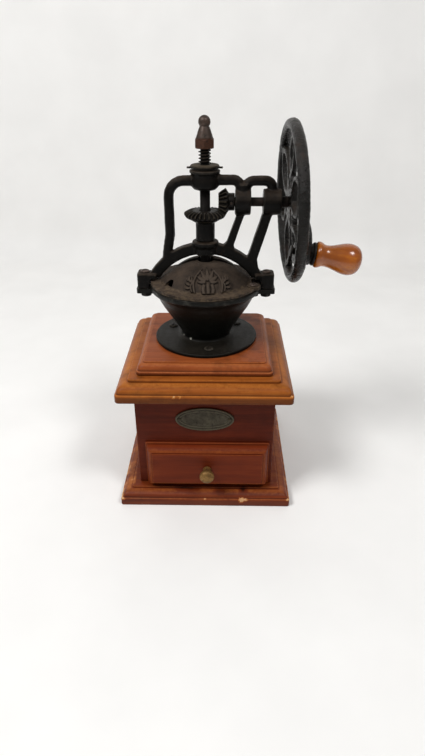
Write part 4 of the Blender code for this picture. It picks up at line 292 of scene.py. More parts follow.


# Box walls. Four boards 8 mm thick, butted and glued. They are darker than the mouldings,
# partly from a darker stain and partly as painted shade under the cornice. The front board
# has the mouth that the drawer slides through.
def cut_board(outline, thickness, soft=0.0006, fade=0.0014, worn=0.35):
    """A sawn board from its outline on XY, with its edges eased and rubbed."""
    bm = bmesh.new()
    wear = wear_layer(bm)
    bm.faces.new([bm.verts.new((x, y, 0.0)) for x, y in outline])
    raised = bmesh.ops.extrude_face_region(bm, geom=whole(bm))["geom"]
    bmesh.ops.translate(bm, vec=(0.0, 0.0, thickness), verts=points_of(raised))
    face_outwards(bm)
    bmesh.ops.bevel(bm, geom=bm.edges[:], offset=soft, offset_type="OFFSET", segments=2, profile=0.5,
                    affect="EDGES", material=-1)
    flats = [face for face in bm.faces if face.calc_area() > face.calc_perimeter() * fade]
    bmesh.ops.inset_individual(bm, faces=flats, thickness=fade, use_even_offset=True)
    for vert in bm.verts:
        vert[wear] = worn
    for face in flats:
        for vert in face.verts:
            vert[wear] = 0.0
    return bm


def rectangle(left, foot, right, top):
    """The outline of a plain board."""
    return [(left, foot), (right, foot), (right, top), (left, top)]


WALL = 0.008
MOUTH_HALF, MOUTH_TOP = 0.04305, 0.0478
ON_EDGE = Matrix.Rotation(math.pi / 2, 4, "X")
SIDEWAYS = Matrix(((0, 0, 1, 0), (1, 0, 0, 0), (0, 1, 0, 0), (0, 0, 0, 1)))
# the same wood under a darker stain and less varnish, with painted shade from the cornice
# mixed into its tones: a deep red-brown with dull highlights
wall_stain_and_shade = {"deep": "351005", "warm": "531b09", "bright": "6b2a10", "gloss": 0.45, "polish": 0.12}
front_wood = stained_wood("stained_hardwood_box", "X", **wall_stain_and_shade)
side_wood = stained_wood("stained_hardwood_box_sides", "Y", **wall_stain_and_shade)
for node, name in (("body_front", "box_front"), ("body_back", "box_back")):
    low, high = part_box(node)
    outline = rectangle(low.x, low.z, high.x, high.z)
    if node == "body_front":
        outline[1:1] = [(-MOUTH_HALF, low.z), (-MOUTH_HALF, MOUTH_TOP), (MOUTH_HALF, MOUTH_TOP),
                        (MOUTH_HALF, low.z)]
    finish_piece(cut_board(outline, WALL), name, front_wood, "mill", "wood", node,
                 place=Matrix.Translation((0.0, high.y, 0.0)) @ ON_EDGE)
for node, name in (("body_left", "box_left"), ("body_right", "box_right")):
    low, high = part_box(node)
    outline = rectangle(low.y, low.z, high.y, high.z)
    finish_piece(cut_board(outline, WALL), name, side_wood, "mill", "wood", node,
                 place=Matrix.Translation((low.x, 0.0, 0.0)) @ SIDEWAYS)


# Cornice and raised plinth. Two more routed boards, glued and screwed down on the box. Both
# have a round throat, where the burr hangs. Their varnish is thicker and more orange, and
# the cornice's front lip has three small chips, one of them at its right corner.
def soften(points, radius=0.0003, steps=3, closed=True):
    """Round the corners of a profile by small curves, as a tool or a mould leaves them."""
    path = []
    count = len(points)
    for number, point in enumerate(points):
        at = Vector(point)
        if not closed and number in (0, count - 1):
            path.append(tuple(at))
            continue
        back = Vector(points[number - 1]) - at
        ahead = Vector(points[(number + 1) % count]) - at
        start = at + back.normalized() * min(radius, back.length * 0.45)
        end = at + ahead.normalized() * min(radius, ahead.length * 0.45)
        for step in range(steps + 1):
            share = step / steps
            path.append(tuple(start * (1 - share) ** 2 + at * 2 * share * (1 - share) + end * share ** 2))
    return path


def turned(profile, steps=64, closed=False):
    """Spin a profile of radius and height about Z. A closed one joins its last point to its first."""
    bm = bmesh.new()
    wear_layer(bm)
    verts = [bm.verts.new((radius, 0.0, height)) for radius, height in profile]
    edges = [bm.edges.new(pair) for pair in zip(verts, verts[1:])]
    if closed:
        edges.append(bm.edges.new((verts[-1], verts[0])))
    bmesh.ops.spin(bm, geom=verts + edges, cent=(0, 0, 0), axis=(0, 0, 1), angle=math.tau, steps=steps,
                   use_merge=True, use_duplicate=False)
    bmesh.ops.remove_doubles(bm, verts=bm.verts, dist=0.000002)
    face_outwards(bm)
    return bm


def rod(radius, low, high, at=(0.0, 0.0), steps=32):
    """A plain upright rod, for a bore or a shank."""
    bm = turned([(0, low), (radius, low), (radius, high), (0, high)], steps=steps)
    bmesh.ops.translate(bm, vec=(at[0], at[1], 0.0), verts=bm.verts)
    return bm


def hold(bm):
    """A passing object for a shape that modifiers work on."""
    mesh = bpy.data.meshes.new("passing")
    bm.to_mesh(mesh)
    bm.free()
    holder = bpy.data.objects.new("passing", mesh)
    bpy.context.scene.collection.objects.link(holder)
    return holder


def baked(holder, *others):
    """The finished mesh of an object with modifiers. The objects themselves are removed."""
    graph = bpy.context.evaluated_depsgraph_get()
    mesh = bpy.data.meshes.new_from_object(holder.evaluated_get(graph))
    bm = bmesh.new()
    bm.from_mesh(mesh)
    for thing in (holder, *others):
        bpy.data.objects.remove(thing)
    return bm


def shaped_by(bm, operation, *tools):
    """Join, cut or trim one closed shape by others."""
    for shape in (bm, *tools):
        face_outwards(shape)
    body = hold(bm)
    others = [hold(tool) for tool in tools]
    for other in others:
        step = body.modifiers.new("step", "BOOLEAN")
        step.operation = operation
        step.solver = "MANIFOLD"
        step.object = other
    return baked(body, *others)


THROAT, TOP_CORNER = 0.025, 0.003
# heights and widths of each moulding, and how much painted shade darkens its lip
CORNICE_MOULDING = {"lip": 0.0065, "step": 0.0012, "run": 0.0076, "riser": 0.0019, "painted_shade": 0.60}
CORNICE_CHIPS = ((-0.0212, -0.0634, 0.0058, 0.0014, 0.0003), (-0.0170, -0.0634, 0.0062, 0.0011, 0.0003),
                 (0.0618, -0.0618, 0.0062, 0.0014, 0.0004))
PLINTH_MOULDING = {"lip": 0.0030, "step": 0.0010, "run": 0.0040, "riser": 0.0008, "painted_shade": 0.45}
# the same wood under thicker, yellower varnish: orange-brown, glossier, and smeared by hands
thick_varnish = {"gloss": 0.32, "polish": 0.12, "smeared": 0.6}
cornice_wood = stained_wood("stained_hardwood_cornice", "X", deep="6c3410", warm="94501d", bright="ae6a2a",
                            rub_and_highlight="c07a34", **thick_varnish)
plinth_wood = stained_wood("stained_hardwood_plinth", "X", deep="683013", warm="8d4722", bright="a35c30",
                           rub_and_highlight="b56f3c", **thick_varnish)
for node, name, wood, moulding, chips in (
        ("cornice_board", "cornice", cornice_wood, CORNICE_MOULDING, CORNICE_CHIPS),
        ("raised_plinth", "raised_plinth_board", plinth_wood, PLINTH_MOULDING, ())):
    low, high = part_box(node)
    board = moulded_board(high.x - low.x, high.y - low.y, TOP_CORNER,
                          routed_rows(height=high.z - low.z, **moulding), chips=chips)
    board = shaped_by(board, "DIFFERENCE", rod(THROAT, -0.001, 0.020, steps=96))
    finish_piece(board, name, wood, "mill", "wood", node, place=Matrix.Translation((0.0, 0.0, low.z)))


# Drawer. A moulded hardwood front is glued on a small open box of plain, unvarnished wood,
# which slides out of the mouth and catches the ground coffee.
BOX_FACE, DRAWER_X, DRAWER_Z = -0.05195, 0.0018, 0.0327
FRONT_WIDTH, FRONT_HEIGHT, FRONT_CORNER = 0.0945, 0.0386, 0.0008
FRONT_MOULDING = {"lip": 0.0016, "step": 0.0012, "run": 0.0042, "riser": 0.0009, "height": 0.0092,
                  "soft": 0.0004}
# the box's wood and stain, rubbed lighter by hands and without the walls' painted shade:
# red-brown with soft highlights
drawer_wood = stained_wood("stained_hardwood_drawer", "X", deep="451606", warm="66250c", bright="803a16",
                           rub_and_highlight="96501f", gloss=0.42, polish=0.12)
drawer_face = moulded_board(FRONT_WIDTH, FRONT_HEIGHT, FRONT_CORNER, routed_rows(**FRONT_MOULDING))
finish_piece(drawer_face, "drawer_face", drawer_wood, "drawer", "wood", "drawer_front",
             place=Matrix.Translation((DRAWER_X, BOX_FACE, DRAWER_Z)) @ ON_EDGE)


def plain_wood(name, grain):
    """Pale hardwood, planed but never varnished: matt, with stains from ground coffee."""
    material, tree, shader, place = new_material(name)
    along = {"X": (0.06, 1.0, 1.0), "Y": (1.0, 0.06, 1.0)}[grain]
    long = add_node(tree, "Mapping", Vector=place, Scale=along)
    # growth rings about 4 mm apart, pores under 1 mm, and stains about 15 mm across
    figure = add_node(tree, "TexNoise", Vector=long, Scale=250.0, Detail=5.0, Distortion=0.4)
    pores = add_node(tree, "TexNoise", Vector=long, Scale=1300.0, Detail=2.0)
    stains = add_node(tree, "TexNoise", Vector=place, Scale=65.0, Detail=4.0)
    mixed = add_node(tree, "Math", operation="MULTIPLY_ADD", i0=pores, i1=0.3, i2=figure)
    wood = add_node(tree, "ValToRGB", Fac=mixed, stops=((0.45, "8d6840"), (0.85, "c19a68")))
    coffee = add_node(tree, "MapRange", Value=stains, From_Min=0.45, From_Max=0.72, To_Max=0.65)
    colour = add_node(tree, "Mix", out=2, data_type="RGBA", i0=coffee, i6=wood, i7="5c3d24")
    rough = add_node(tree, "MapRange", Value=pores, To_Min=0.60, To_Max=0.85)
    bump = add_node(tree, "Bump", Strength=0.25, Distance=0.0002, Height=mixed)
    set_sockets(tree, shader, Base_Color=colour, Roughness=rough, Normal=bump)
    return material


# pale, bare hardwood: the grain runs back along the sides and the floor, and across the back board
box_wood_along = plain_wood("plain_hardwood_drawer_sides", "Y")
box_wood_across = plain_wood("plain_hardwood_drawer_back", "X")
for node, name in (("drawer_side_left", "drawer_left"), ("drawer_side_right", "drawer_right"),
                   ("drawer_back", "drawer_rear"), ("drawer_bottom", "drawer_floor")):
    low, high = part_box(node)
    board = cut_board(rectangle(low.x, low.y, high.x, high.y), high.z - low.z, soft=0.0004, fade=0.0008)
    board_wood = box_wood_across if node == "drawer_back" else box_wood_along
    finish_piece(board, name, board_wood, "drawer", "plain_wood", node,
                 place=Matrix.Translation((0.0, 0.0, low.z)))


# Drawer knob. A pear-shaped knob of turned brass, gone brown with age and brighter in the
# patches that fingers have rubbed. A screw through the drawer's front holds it on.
def aged_metal(name, bright, dull, stain, shine=0.30, tarnish=0.55, metal=1.0, pits=0.10, glint=0.5,
               below=0.0, rust=None):
    """Bare metal with a clean tone, a tarnished tone and darker stains, all in small patches.

    Tarnish is where the clean tone gives way, shine its roughness and glint its reflections.
    Where a colour of rust is given, it covers what lies lower than the height below.
    """
    material, tree, shader, place = new_material(name)
    # tarnish in patches about 5 mm across, stains about 2 mm, and pits under 0.5 mm
    broad = add_node(tree, "TexNoise", Vector=place, Scale=200.0, Detail=6.0, Roughness=0.68)
    small = add_node(tree, "TexNoise", Vector=place, Scale=620.0, Detail=5.0, Roughness=0.7)
    fine = add_node(tree, "TexNoise", Vector=place, Scale=2600.0, Detail=2.0)
    worn = add_node(tree, "Attribute", out="Fac", attribute_name="wear")
    clean = add_node(tree, "Math", operation="MULTIPLY_ADD", i0=worn, i1=0.45, i2=broad)
    share = add_node(tree, "MapRange", Value=clean, From_Min=tarnish - 0.14, From_Max=tarnish + 0.16)
    dark = add_node(tree, "MapRange", Value=small, From_Min=0.54, From_Max=0.70, To_Max=0.85)
    colour = add_node(tree, "Mix", out=2, data_type="RGBA", i0=share, i6=dull, i7=bright)
    if rust:
        height = add_node(tree, "SeparateXYZ", out="Z", Vector=place)
        foot = add_node(tree, "MapRange", Value=height, From_Min=below + 0.0006, From_Max=below, To_Max=0.9)
        colour = add_node(tree, "Mix", out=2, data_type="RGBA", i0=foot, i6=colour, i7=rust)
    colour = add_node(tree, "Mix", out=2, data_type="RGBA", i0=dark, i6=colour, i7=stain)
    rough = add_node(tree, "MapRange", Value=share, To_Min=shine + 0.28, To_Max=shine)
    rough = add_node(tree, "Math", operation="MULTIPLY_ADD", i0=dark, i1=0.2, i2=rough)
    height = add_node(tree, "Math", operation="MULTIPLY_ADD", i0=fine, i1=0.4, i2=small)
    bump = add_node(tree, "Bump", Strength=pits, Distance=0.0003, Height=height)
    set_sockets(tree, shader, Base_Color=colour, Roughness=rough, Normal=bump, Metallic=metal,
                Specular_IOR_Level=glint)
    return material


# turned brass under old tarnish: a yellow-brown with soft, warm highlights
aged_brass = aged_metal("aged_brass_knob", "9a7540", "694c25", "3a2a16", shine=0.34, metal=0.6)
KNOB_SEAT = -0.06145
KNOB_PROFILE = [(0, 0), (0.0032, 0), (0.0033, 0.0008), (0.0032, 0.0018), (0.0032, 0.0028), (0.0035, 0.0038),
                (0.0042, 0.0050), (0.0050, 0.0063), (0.0056, 0.0078), (0.00545, 0.0093), (0.0046, 0.0106),
                (0.0032, 0.0114), (0.0014, 0.01175), (0, 0.0118)]
knob = turned(soften(KNOB_PROFILE, 0.0006, closed=False), steps=48)
finish_piece(knob, "drawer_pull", aged_brass, "drawer", "brass", "drawer_knob",
             place=Matrix.Translation((DRAWER_X, KNOB_SEAT, DRAWER_Z)) @ ON_EDGE)
# drawn steel under thin brown rust: matt, and only a little metallic
rusty_steel = aged_metal("rusty_steel_fixings", "50423a", "33271f", "1a130f", shine=0.42, tarnish=0.58,
                         metal=0.35, pits=0.3)


def dress(material, *nodes):
    """Give a material to CAD nodes that stay as they are, out of sight inside the mill."""
    for node in nodes:
        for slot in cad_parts[node].material_slots:
            slot.material = material


dress(rusty_steel, "drawer_knob_screw")


# Badge. An oval plate of cast pewter with a raised rim, pinned to the box's front by two
# round-headed pins. Its field is bare, and age has made it dull and dark.
BADGE_WIDTH, BADGE_HEIGHT, BADGE_Z, PIN_LENGTH = 0.0435, 0.0200, 0.0727, 0.0060
# cast pewter gone olive brown: matt patches, and darker in its low places
pewter = aged_metal("aged_pewter_badge", "4a4331", "342e21", "1c170f", shine=0.48, tarnish=0.5, metal=0.35,
                    pits=0.2)
BADGE_ROWS = [(0.0003, 0, 0.2), (0, 0.0003, 0.5), (0, 0.0008, 0.6), (0.0001, 0.0010, 0.9),
              (0.0004, 0.0012, 1.0), (0.0010, 0.0012, 0.9), (0.0013, 0.0010, 0.4), (0.0016, 0.0008, -0.8),
              (0.0020, 0.0008, -0.4), (0.0026, 0.0008, 0.0), (0.0029, 0.00095, 0.7), (0.0033, 0.00095, 0.7),
              (0.0036, 0.0008, -0.4), (0.0046, 0.0008, 0.0)]
badge = moulded_board(BADGE_WIDTH, BADGE_HEIGHT, 0, BADGE_ROWS, spacing=1.0)
finish_piece(badge, "badge", pewter, "mill", "pewter", "badge_plate",
             place=Matrix.Translation((0.0, BOX_FACE, BADGE_Z)) @ ON_EDGE)
for node, name in (("badge_pin_left", "pin_left"), ("badge_pin_right", "pin_right")):
    low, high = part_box(node)
    middle = (low + high) / 2
    radius = (high.z - low.z) / 2
    pin_profile = [(0, PIN_LENGTH), (radius * 0.3, 0.00592), (radius * 0.75, 0.0056), (radius, 0.0051),
                   (radius, 0.0048), (0.0006, 0.0047), (0.0006, 0), (0, 0)]
    pin = turned(soften(pin_profile, 0.00015, closed=False), steps=24)
    finish_piece(pin, name, pewter, "mill", "pewter", node,
                 place=Matrix.Translation((middle.x, low.y + PIN_LENGTH, middle.z)) @ ON_EDGE)


# Hopper bowl. A funnel of cast iron under black enamel, with a thick rounded rim, two ears
# for the yoke's bolts, a small boss for the lid's pivot, and a broad foot disc. It stands
# on the raised plinth, over the throat.
def block(low, high, corner=0.0):
    """A block between two corners, its upright edges rounded."""
    bm = bmesh.new()
    wear_layer(bm)
    bmesh.ops.create_cube(bm, size=1.0)
    low, high = Vector(low), Vector(high)
    bmesh.ops.scale(bm, vec=high - low, verts=bm.verts)
    bmesh.ops.translate(bm, vec=(low + high) / 2, verts=bm.verts)
    if corner:
        upright = [edge for edge in bm.edges if abs(edge.verts[0].co.z - edge.verts[1].co.z) > 0.00001]
        bmesh.ops.bevel(bm, geom=upright, offset=corner, offset_type="OFFSET", segments=4, profile=0.5,
                        affect="EDGES", material=-1)
    return bm


def closer(points, spacing):
    """The same profile with more points on its long parts."""
    path = []
    for start, end in zip(points, points[1:] + points[:1]):
        start, end = Vector(start), Vector(end)
        count = max(1, round((end - start).length / spacing))
        path += [tuple(start.lerp(end, step / count)) for step in range(count)]
    return path


def roughen(bm, *waves):
    """Move the surface by noise along its normals, each wave a height and a scale."""
    bm.normal_update()
    moves = [sum(height * noise.noise(vert.co * scale) for height, scale in waves) for vert in bm.verts]
    normals = [vert.normal.copy() for vert in bm.verts]
    for vert, normal, move in zip(bm.verts, normals, moves):
        vert.co += normal * move


def japanned_iron(name, skin, thin, dust, rust, worn, dusty=0.5, rusty=0.35, gloss=0.36, pits=0.35,
                  glint=0.25, tan=None, below=0.0):
    """Cast iron under old black japan, rough with pits from the sand mould.

    The japan is black, skin, and browner where it is thin. Dust lies on what faces up and in
    corners, rust shows in patches, and proud edges, where the attribute "wear" is high, are
    rubbed down to iron. Gloss is the roughness and glint the strength of its reflections.
    Where a colour is given as tan, it covers what lies lower than the height below.
    """
    material, tree, shader, place = new_material(name)
    up = add_node(tree, "TexCoord", out="Normal")
    up = add_node(tree, "SeparateXYZ", out="Z", Vector=up)
    # patches about 20 mm across, mottling about 4 mm, and sand pits about 0.7 mm
    broad = add_node(tree, "TexNoise", Vector=place, Scale=48.0, Detail=5.0, Roughness=0.62)
    small = add_node(tree, "TexNoise", Vector=place, Scale=260.0, Detail=5.0, Roughness=0.66)
    sand = add_node(tree, "TexNoise", Vector=place, Scale=1400.0, Detail=3.0, Roughness=0.6)
    edge = add_node(tree, "Attribute", out="Fac", attribute_name="wear")
    skin_share = add_node(tree, "MapRange", Value=small, From_Min=0.35, From_Max=0.7)
    colour = add_node(tree, "Mix", out=2, data_type="RGBA", i0=skin_share, i6=skin, i7=thin)
    patch = add_node(tree, "Math", operation="MULTIPLY_ADD", i0=small, i1=0.5, i2=broad)
    rust_share = add_node(tree, "MapRange", Value=patch, From_Min=1.02 - rusty * 0.45,
                          From_Max=1.14 - rusty * 0.45, To_Max=0.85)
    rub = add_node(tree, "Math", operation="MULTIPLY_ADD", i0=small, i1=0.8, i2=edge)
    rub = add_node(tree, "MapRange", Value=rub, From_Min=0.78, From_Max=1.25, To_Max=0.9)
    lying = add_node(tree, "MapRange", Value=up, From_Min=0.05, From_Max=0.95)
    corner = add_node(tree, "MapRange", Value=edge, From_Min=-0.1, From_Max=-0.9, To_Max=0.5)
    lying = add_node(tree, "Math", operation="ADD", i0=lying, i1=corner)
    thick = add_node(tree, "MapRange", Value=patch, From_Min=0.45, From_Max=1.05)
    lying = add_node(tree, "Math", operation="MULTIPLY", i0=lying, i1=thick)
    lying = add_node(tree, "Math", operation="MULTIPLY", use_clamp=True, i0=lying, i1=dusty * 1.6)
    for share, tint in ((rust_share, rust), (rub, worn), (lying, dust)):
        colour = add_node(tree, "Mix", out=2, data_type="RGBA", i0=share, i6=colour, i7=tint)
    if tan:
        # ground coffee and dust have stained what lies low and flat
        height = add_node(tree, "SeparateXYZ", out="Z", Vector=place)
        height = add_node(tree, "Math", operation="MULTIPLY_ADD", i0=broad, i1=-0.0012, i2=height)
        flange = add_node(tree, "MapRange", Value=height, From_Min=below + 0.0009, From_Max=below)
        worn_off = add_node(tree, "MapRange", Value=small, From_Min=0.60, From_Max=0.36, To_Max=0.95)
        flange = add_node(tree, "Math", operation="MULTIPLY", i0=flange, i1=worn_off)
        colour = add_node(tree, "Mix", out=2, data_type="RGBA", i0=flange, i6=colour, i7=tan)
    # bare bright iron in a chip, where "wear" is CHIPPED_IRON
    chip = add_node(tree, "MapRange", Value=edge, From_Min=1.5, From_Max=1.7)
    colour = add_node(tree, "Mix", out=2, data_type="RGBA", i0=chip, i6=colour, i7="a9a79d")
    rough = add_node(tree, "MapRange", Value=small, To_Min=gloss - 0.08, To_Max=gloss + 0.14)
    matt = add_node(tree, "Math", operation="MAXIMUM", i0=lying, i1=rust_share)
    rough = add_node(tree, "Math", operation="MULTIPLY_ADD", i0=matt, i1=0.4, i2=rough)
    metal = add_node(tree, "Math", operation="MULTIPLY", i0=rub, i1=0.35)
    height = add_node(tree, "Math", operation="MULTIPLY_ADD", i0=small, i1=0.7, i2=sand)
    bump = add_node(tree, "Bump", Strength=pits, Distance=0.0005, Height=height)
    set_sockets(tree, shader, Base_Color=colour, Roughness=rough, Metallic=metal, Normal=bump,
                Specular_IOR_Level=glint)
    return material


# black enamel, worn thin in places: smooth, with a soft gleam down each side
enamel = japanned_iron("black_enamelled_cast_iron", skin="0a0a08", thin="10100d", dust="2c261f",
                       rust="110e0b", worn="33312c", dusty=0.36, rusty=0.12, gloss=0.32, pits=0.30,
                       glint=0.13)
BOWL_OUTSIDE = [(0.0405, 0.1605), (0.0410, 0.1600), (0.0410, 0.1572), (0.0400, 0.1560), (0.0378, 0.1551),
                (0.0361, 0.1525), (0.0345, 0.1487), (0.0322, 0.1444), (0.0288, 0.1390), (0.0246, 0.1325),
                (0.0211, 0.1268), (0.0184, 0.1216), (0.0189, 0.1199), (0.0222, 0.1190), (0.0384, 0.1190),
                (0.0389, 0.1185), (0.0389, 0.1166)]
BOWL_INSIDE = [(0.0158, 0.1166), (0.0158, 0.1205), (0.0218, 0.1325), (0.0290, 0.1450), (0.0328, 0.1525),
               (0.0350, 0.1567), (0.0350, 0.1605)]
bowl = turned(closer(soften(BOWL_OUTSIDE + BOWL_INSIDE, 0.0007), 0.0018), steps=144, closed=True)
EAR_IN, EAR_OUT, EAR_HALF, EAR_LOW, EAR_HIGH, EAR_CORNER = 0.038, 0.051, 0.0065, 0.1533, 0.1567, 0.0015
BOLT_X, BOLT_BORE = 0.0446, 0.0023
PIVOT, PIVOT_BOSS = (0.034687, -0.01451), (0.0036, 0.1558, 0.1600)
# two chips down to the grey iron, where the cone meets the foot: x, y and reach of each
FOOT_CHIPS, CHIP_HEIGHT, CHIPPED_IRON = ((-0.0166, -0.0080, 0.0009), (-0.0111, -0.0148, 0.0012)), 0.1207, 1.9
ears = [block((side * EAR_IN, -EAR_HALF, EAR_LOW), (side * EAR_OUT, EAR_HALF, EAR_HIGH), EAR_CORNER)
        for side in (1, -1)]
bowl = shaped_by(bowl, "UNION", *ears, rod(*PIVOT_BOSS, PIVOT))
bowl = shaped_by(bowl, "DIFFERENCE", *[rod(BOLT_BORE, 0.150, 0.160, (x, 0)) for x in (BOLT_X, -BOLT_X)])
wear = wear_layer(bowl)
for vert in bowl.verts:
    # the rim's outer face is rubbed grey in patches, partly real wear and partly a painted gleam along the
    # rim
    if vert.co.xy.length > 0.0402 and 0.156 < vert.co.z < 0.161:
        vert[wear] = 0.30 + 0.9 * noise.noise(vert.co * 300)
    for x, y, reach in FOOT_CHIPS:
        if (vert.co - Vector((x, y, CHIP_HEIGHT))).length < reach:
            vert[wear] = CHIPPED_IRON
finish_piece(bowl, "bowl", enamel, "mill", "iron", "hopper_bowl")


# Foot screws. Three round-headed, slotted wood screws of steel hold the bowl's foot down on
# the plinth. They are as black and dull as the foot round them.
def slotted_screw(node, head, rise, slot, cut, shank, turn, steps=32, filed=0.0, cropped=0.0):
    """A slotted screw in the place of a CAD one.

    Head and shank are radii, rise is the head's height, and slot and cut the slot's width and
    depth. Filed and cropped are what is taken off its two ends.
    """
    low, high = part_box(node)
    middle = (low + high) / 2
    high.z -= filed
    low.z += cropped
    seat = high.z - rise
    profile = [(0, high.z), (head * 0.35, high.z - rise * 0.03), (head * 0.75, high.z - rise * 0.22),
               (head * 0.97, high.z - rise * 0.58), (head, seat + rise * 0.15), (head * 0.97, seat),
               (shank, seat), (shank, low.z + 0.0008), (shank * 0.5, low.z), (0, low.z)]
    bm = turned(soften(profile, 0.00015, closed=False), steps=steps)
    groove = block((-head * 1.2, -slot / 2, high.z - cut), (head * 1.2, slot / 2, high.z + 0.001))
    groove.transform(Matrix.Rotation(turn, 4, "Z"))
    bm = shaped_by(bm, "DIFFERENCE", groove)
    wear = wear_layer(bm)
    for vert in bm.verts:
        if vert.co.z > seat + 0.0001:
            vert[wear] = 0.5 if vert.co.xy.length > head * 0.7 else 0.1
    bmesh.ops.translate(bm, vec=(middle.x, middle.y, 0.0), verts=bm.verts)
    return bm


# black, dull steel under dust: nearly black, with brown patches of rust
dull_steel = japanned_iron("dull_black_steel_screws", skin="0d0c0a", thin="181512", dust="362f27",
                           rust="2e1e17", worn="5f574c", dusty=0.35, rusty=0.4, gloss=0.38, pits=0.25,
                           glint=0.16)
for node in ("foot_screw_front", "foot_screw_right", "foot_screw_left"):
    screw = slotted_screw(node, head=0.0035, rise=0.0015, slot=0.0009, cut=0.0007, shank=0.0015,
                          turn=math.radians(75))
    finish_piece(screw, node.replace("foot_screw", "bowl_screw"), dull_steel, "mill", "iron", node)


# Rear hood. The fixed half of the hopper's cover: a thin dome of cast iron whose flat flange
# lies on the bowl's rim, under years of grey-brown dust.
HOOD_GAP = 0.0003
FLANGE_FOOT, FLANGE_TOP, FLANGE_RADIUS, SPINDLE_HOLE = 0.1608, 0.1626, 0.0404, 0.0056


def dome_profile(radius, centre, wall, base, spacing):
    """Outside and inside of a cover: flange, dome and the hole for the spindle.

    The dome is part of a sphere, whose centre is on the mill's axis. It rises from the flange
    at the radius base.
    """
    first = math.acos(base / radius)
    last = math.acos(SPINDLE_HOLE / radius)
    count = max(6, round(radius * (last - first) / spacing))
    turns = [first + (last - first) * step / count for step in range(count + 1)]
    outer = [(radius * math.cos(turn), centre + radius * math.sin(turn)) for turn in turns]
    inside = radius - wall
    first = math.asin(min(1.0, (FLANGE_FOOT - centre) / inside))
    last = math.acos(SPINDLE_HOLE / inside)
    turns = [last + (first - last) * step / 24 for step in range(25)]
    inner = [(inside * math.cos(turn), centre + inside * math.sin(turn)) for turn in turns]
    rim = [(FLANGE_RADIUS, FLANGE_FOOT), (FLANGE_RADIUS, FLANGE_TOP)]
    steps, flange = 10, FLANGE_RADIUS - outer[0][0]
    flat = [(FLANGE_RADIUS - flange * step / steps, FLANGE_TOP) for step in range(1, steps)]
    lower = [point for point in outer if point[1] > FLANGE_TOP]
    return inner + rim + flat + lower


def half_cover(cover, gap, side):
    """Cut a round cover through the middle and keep what lies behind, 1, or in front, -1."""
    bmesh.ops.bisect_plane(cover, geom=whole(cover), dist=0.0000001, plane_co=(0, side * gap, 0),
                           plane_no=(0, -side, 0), clear_outer=True)
    bmesh.ops.holes_fill(cover, edges=[edge for edge in cover.edges if edge.is_boundary], sides=0)
    face_outwards(cover)


# rough cast iron, its japan nearly gone, under grey-brown dust: matt and warm grey
old_cover = {"skin": "181411", "thin": "261f1a", "dust": "453a31", "rust": "36271d", "worn": "5c5147",
             "dusty": 0.80, "rusty": 0.35, "gloss": 0.48, "glint": 0.12}
dusty_iron = japanned_iron("dusty_cast_iron_cover", pits=0.5, **old_cover)
HOOD_RADIUS, HOOD_CENTRE, HOOD_WALL = 0.03520, 0.14388, 0.0020
HOOD_BASE = math.sqrt(HOOD_RADIUS ** 2 - (FLANGE_TOP - HOOD_CENTRE) ** 2)
hood = turned(dome_profile(HOOD_RADIUS, HOOD_CENTRE, HOOD_WALL, HOOD_BASE, 0.0016), steps=160, closed=True)
half_cover(hood, HOOD_GAP, 1)
roughen(hood, (0.00015, 90), (0.00006, 400))
for vert in hood.verts:
    if vert.co.y < HOOD_GAP + 0.0002:
        vert.co.y = HOOD_GAP
finish_piece(hood, "hood", dusty_iron, "mill", "iron", "rear_hood")


# Lid. The front half of the cover, of cast iron too, swings sideways on one screw for
# filling. Cast in relief on its dome is a palmette between hanging leaves, and a small arch
# is cut in the foot of the dome at its left.
LID_RADIUS, LID_CENTRE, LID_WALL, LID_BASE = 0.04509, 0.13231, 0.0022, 0.0334
RELIEF_HEIGHT, SWELL_HEIGHT, GROUND_DEPTH, RELIEF_MIDDLE = 0.0012, 0.0007, 0.00025, 0.0028


def spiral(x, y, start, end, first, last, thick, steps=26):
    """Points (across, up, half width) of a scroll, in mm, turning from one angle to another."""
    path = []
    for step in range(steps + 1):
        share = step / steps
        turn = math.radians(first + (last - first) * share)
        radius = start + (end - start) * share
        path.append((x + radius * math.cos(turn), y + radius * math.sin(turn), thick * (0.7 + 0.3 * share)))
    return path


def leaf(x, y, turn, length, thick, steps=9):
    """Points of a pointed leaf, fullest a third of the way along."""
    path = []
    turn = math.radians(turn)
    for step in range(steps + 1):
        share = step / steps
        width = thick * max(0.12, math.sin(math.pi * share ** 0.65))
        path.append((x + length * share * math.cos(turn), y + length * share * math.sin(turn), width))
    return path


def bowed(x, low, high, bow, thick, steps=22):
    """Points of a hanging stem that bows outwards."""
    return [(x + bow * math.sin(math.pi * step / steps), low + (high - low) * step / steps, thick)
            for step in range(steps + 1)]


# the relief in mm, across from the palmette's middle and up from the foot of the dome
HALF_PALMETTE = [
    leaf(1.0, 10.8, 60, 12.2, 1.7), leaf(1.6, 10.0, 30, 9.4, 1.6), leaf(1.8, 9.2, 2, 6.6, 1.4),
    bowed(3.1, 6.6, 1.4, 0.5, 1.35), bowed(9.6, 1.6, 15.5, 1.2, 0.85), leaf(9.8, 15.0, 122, 9.4, 1.1),
    bowed(11.6, 1.8, 9.0, 0.9, 0.6), leaf(12.0, 9.0, 76, 5.6, 0.9), leaf(12.6, 8.4, 44, 5.4, 1.0),
    leaf(13.0, 6.2, 14, 5.2, 1.05), leaf(13.0, 4.2, -14, 4.2, 0.95),
    spiral(16.2, 10.9, 0.4, 1.9, 420, 120, 0.7)]
MIDDLE_LEAVES = [leaf(0.0, 10.6, 90, 13.4, 1.9), bowed(0.0, 7.4, 1.0, 0.0, 1.35)]
# low mounds under the relief: middle across and up, and half the width and the height of each
SWELLS = ((0.0, 11.5, 9.0, 12.5), (-14.2, 7.0, 5.6, 7.5), (14.2, 7.0, 5.6, 7.5))
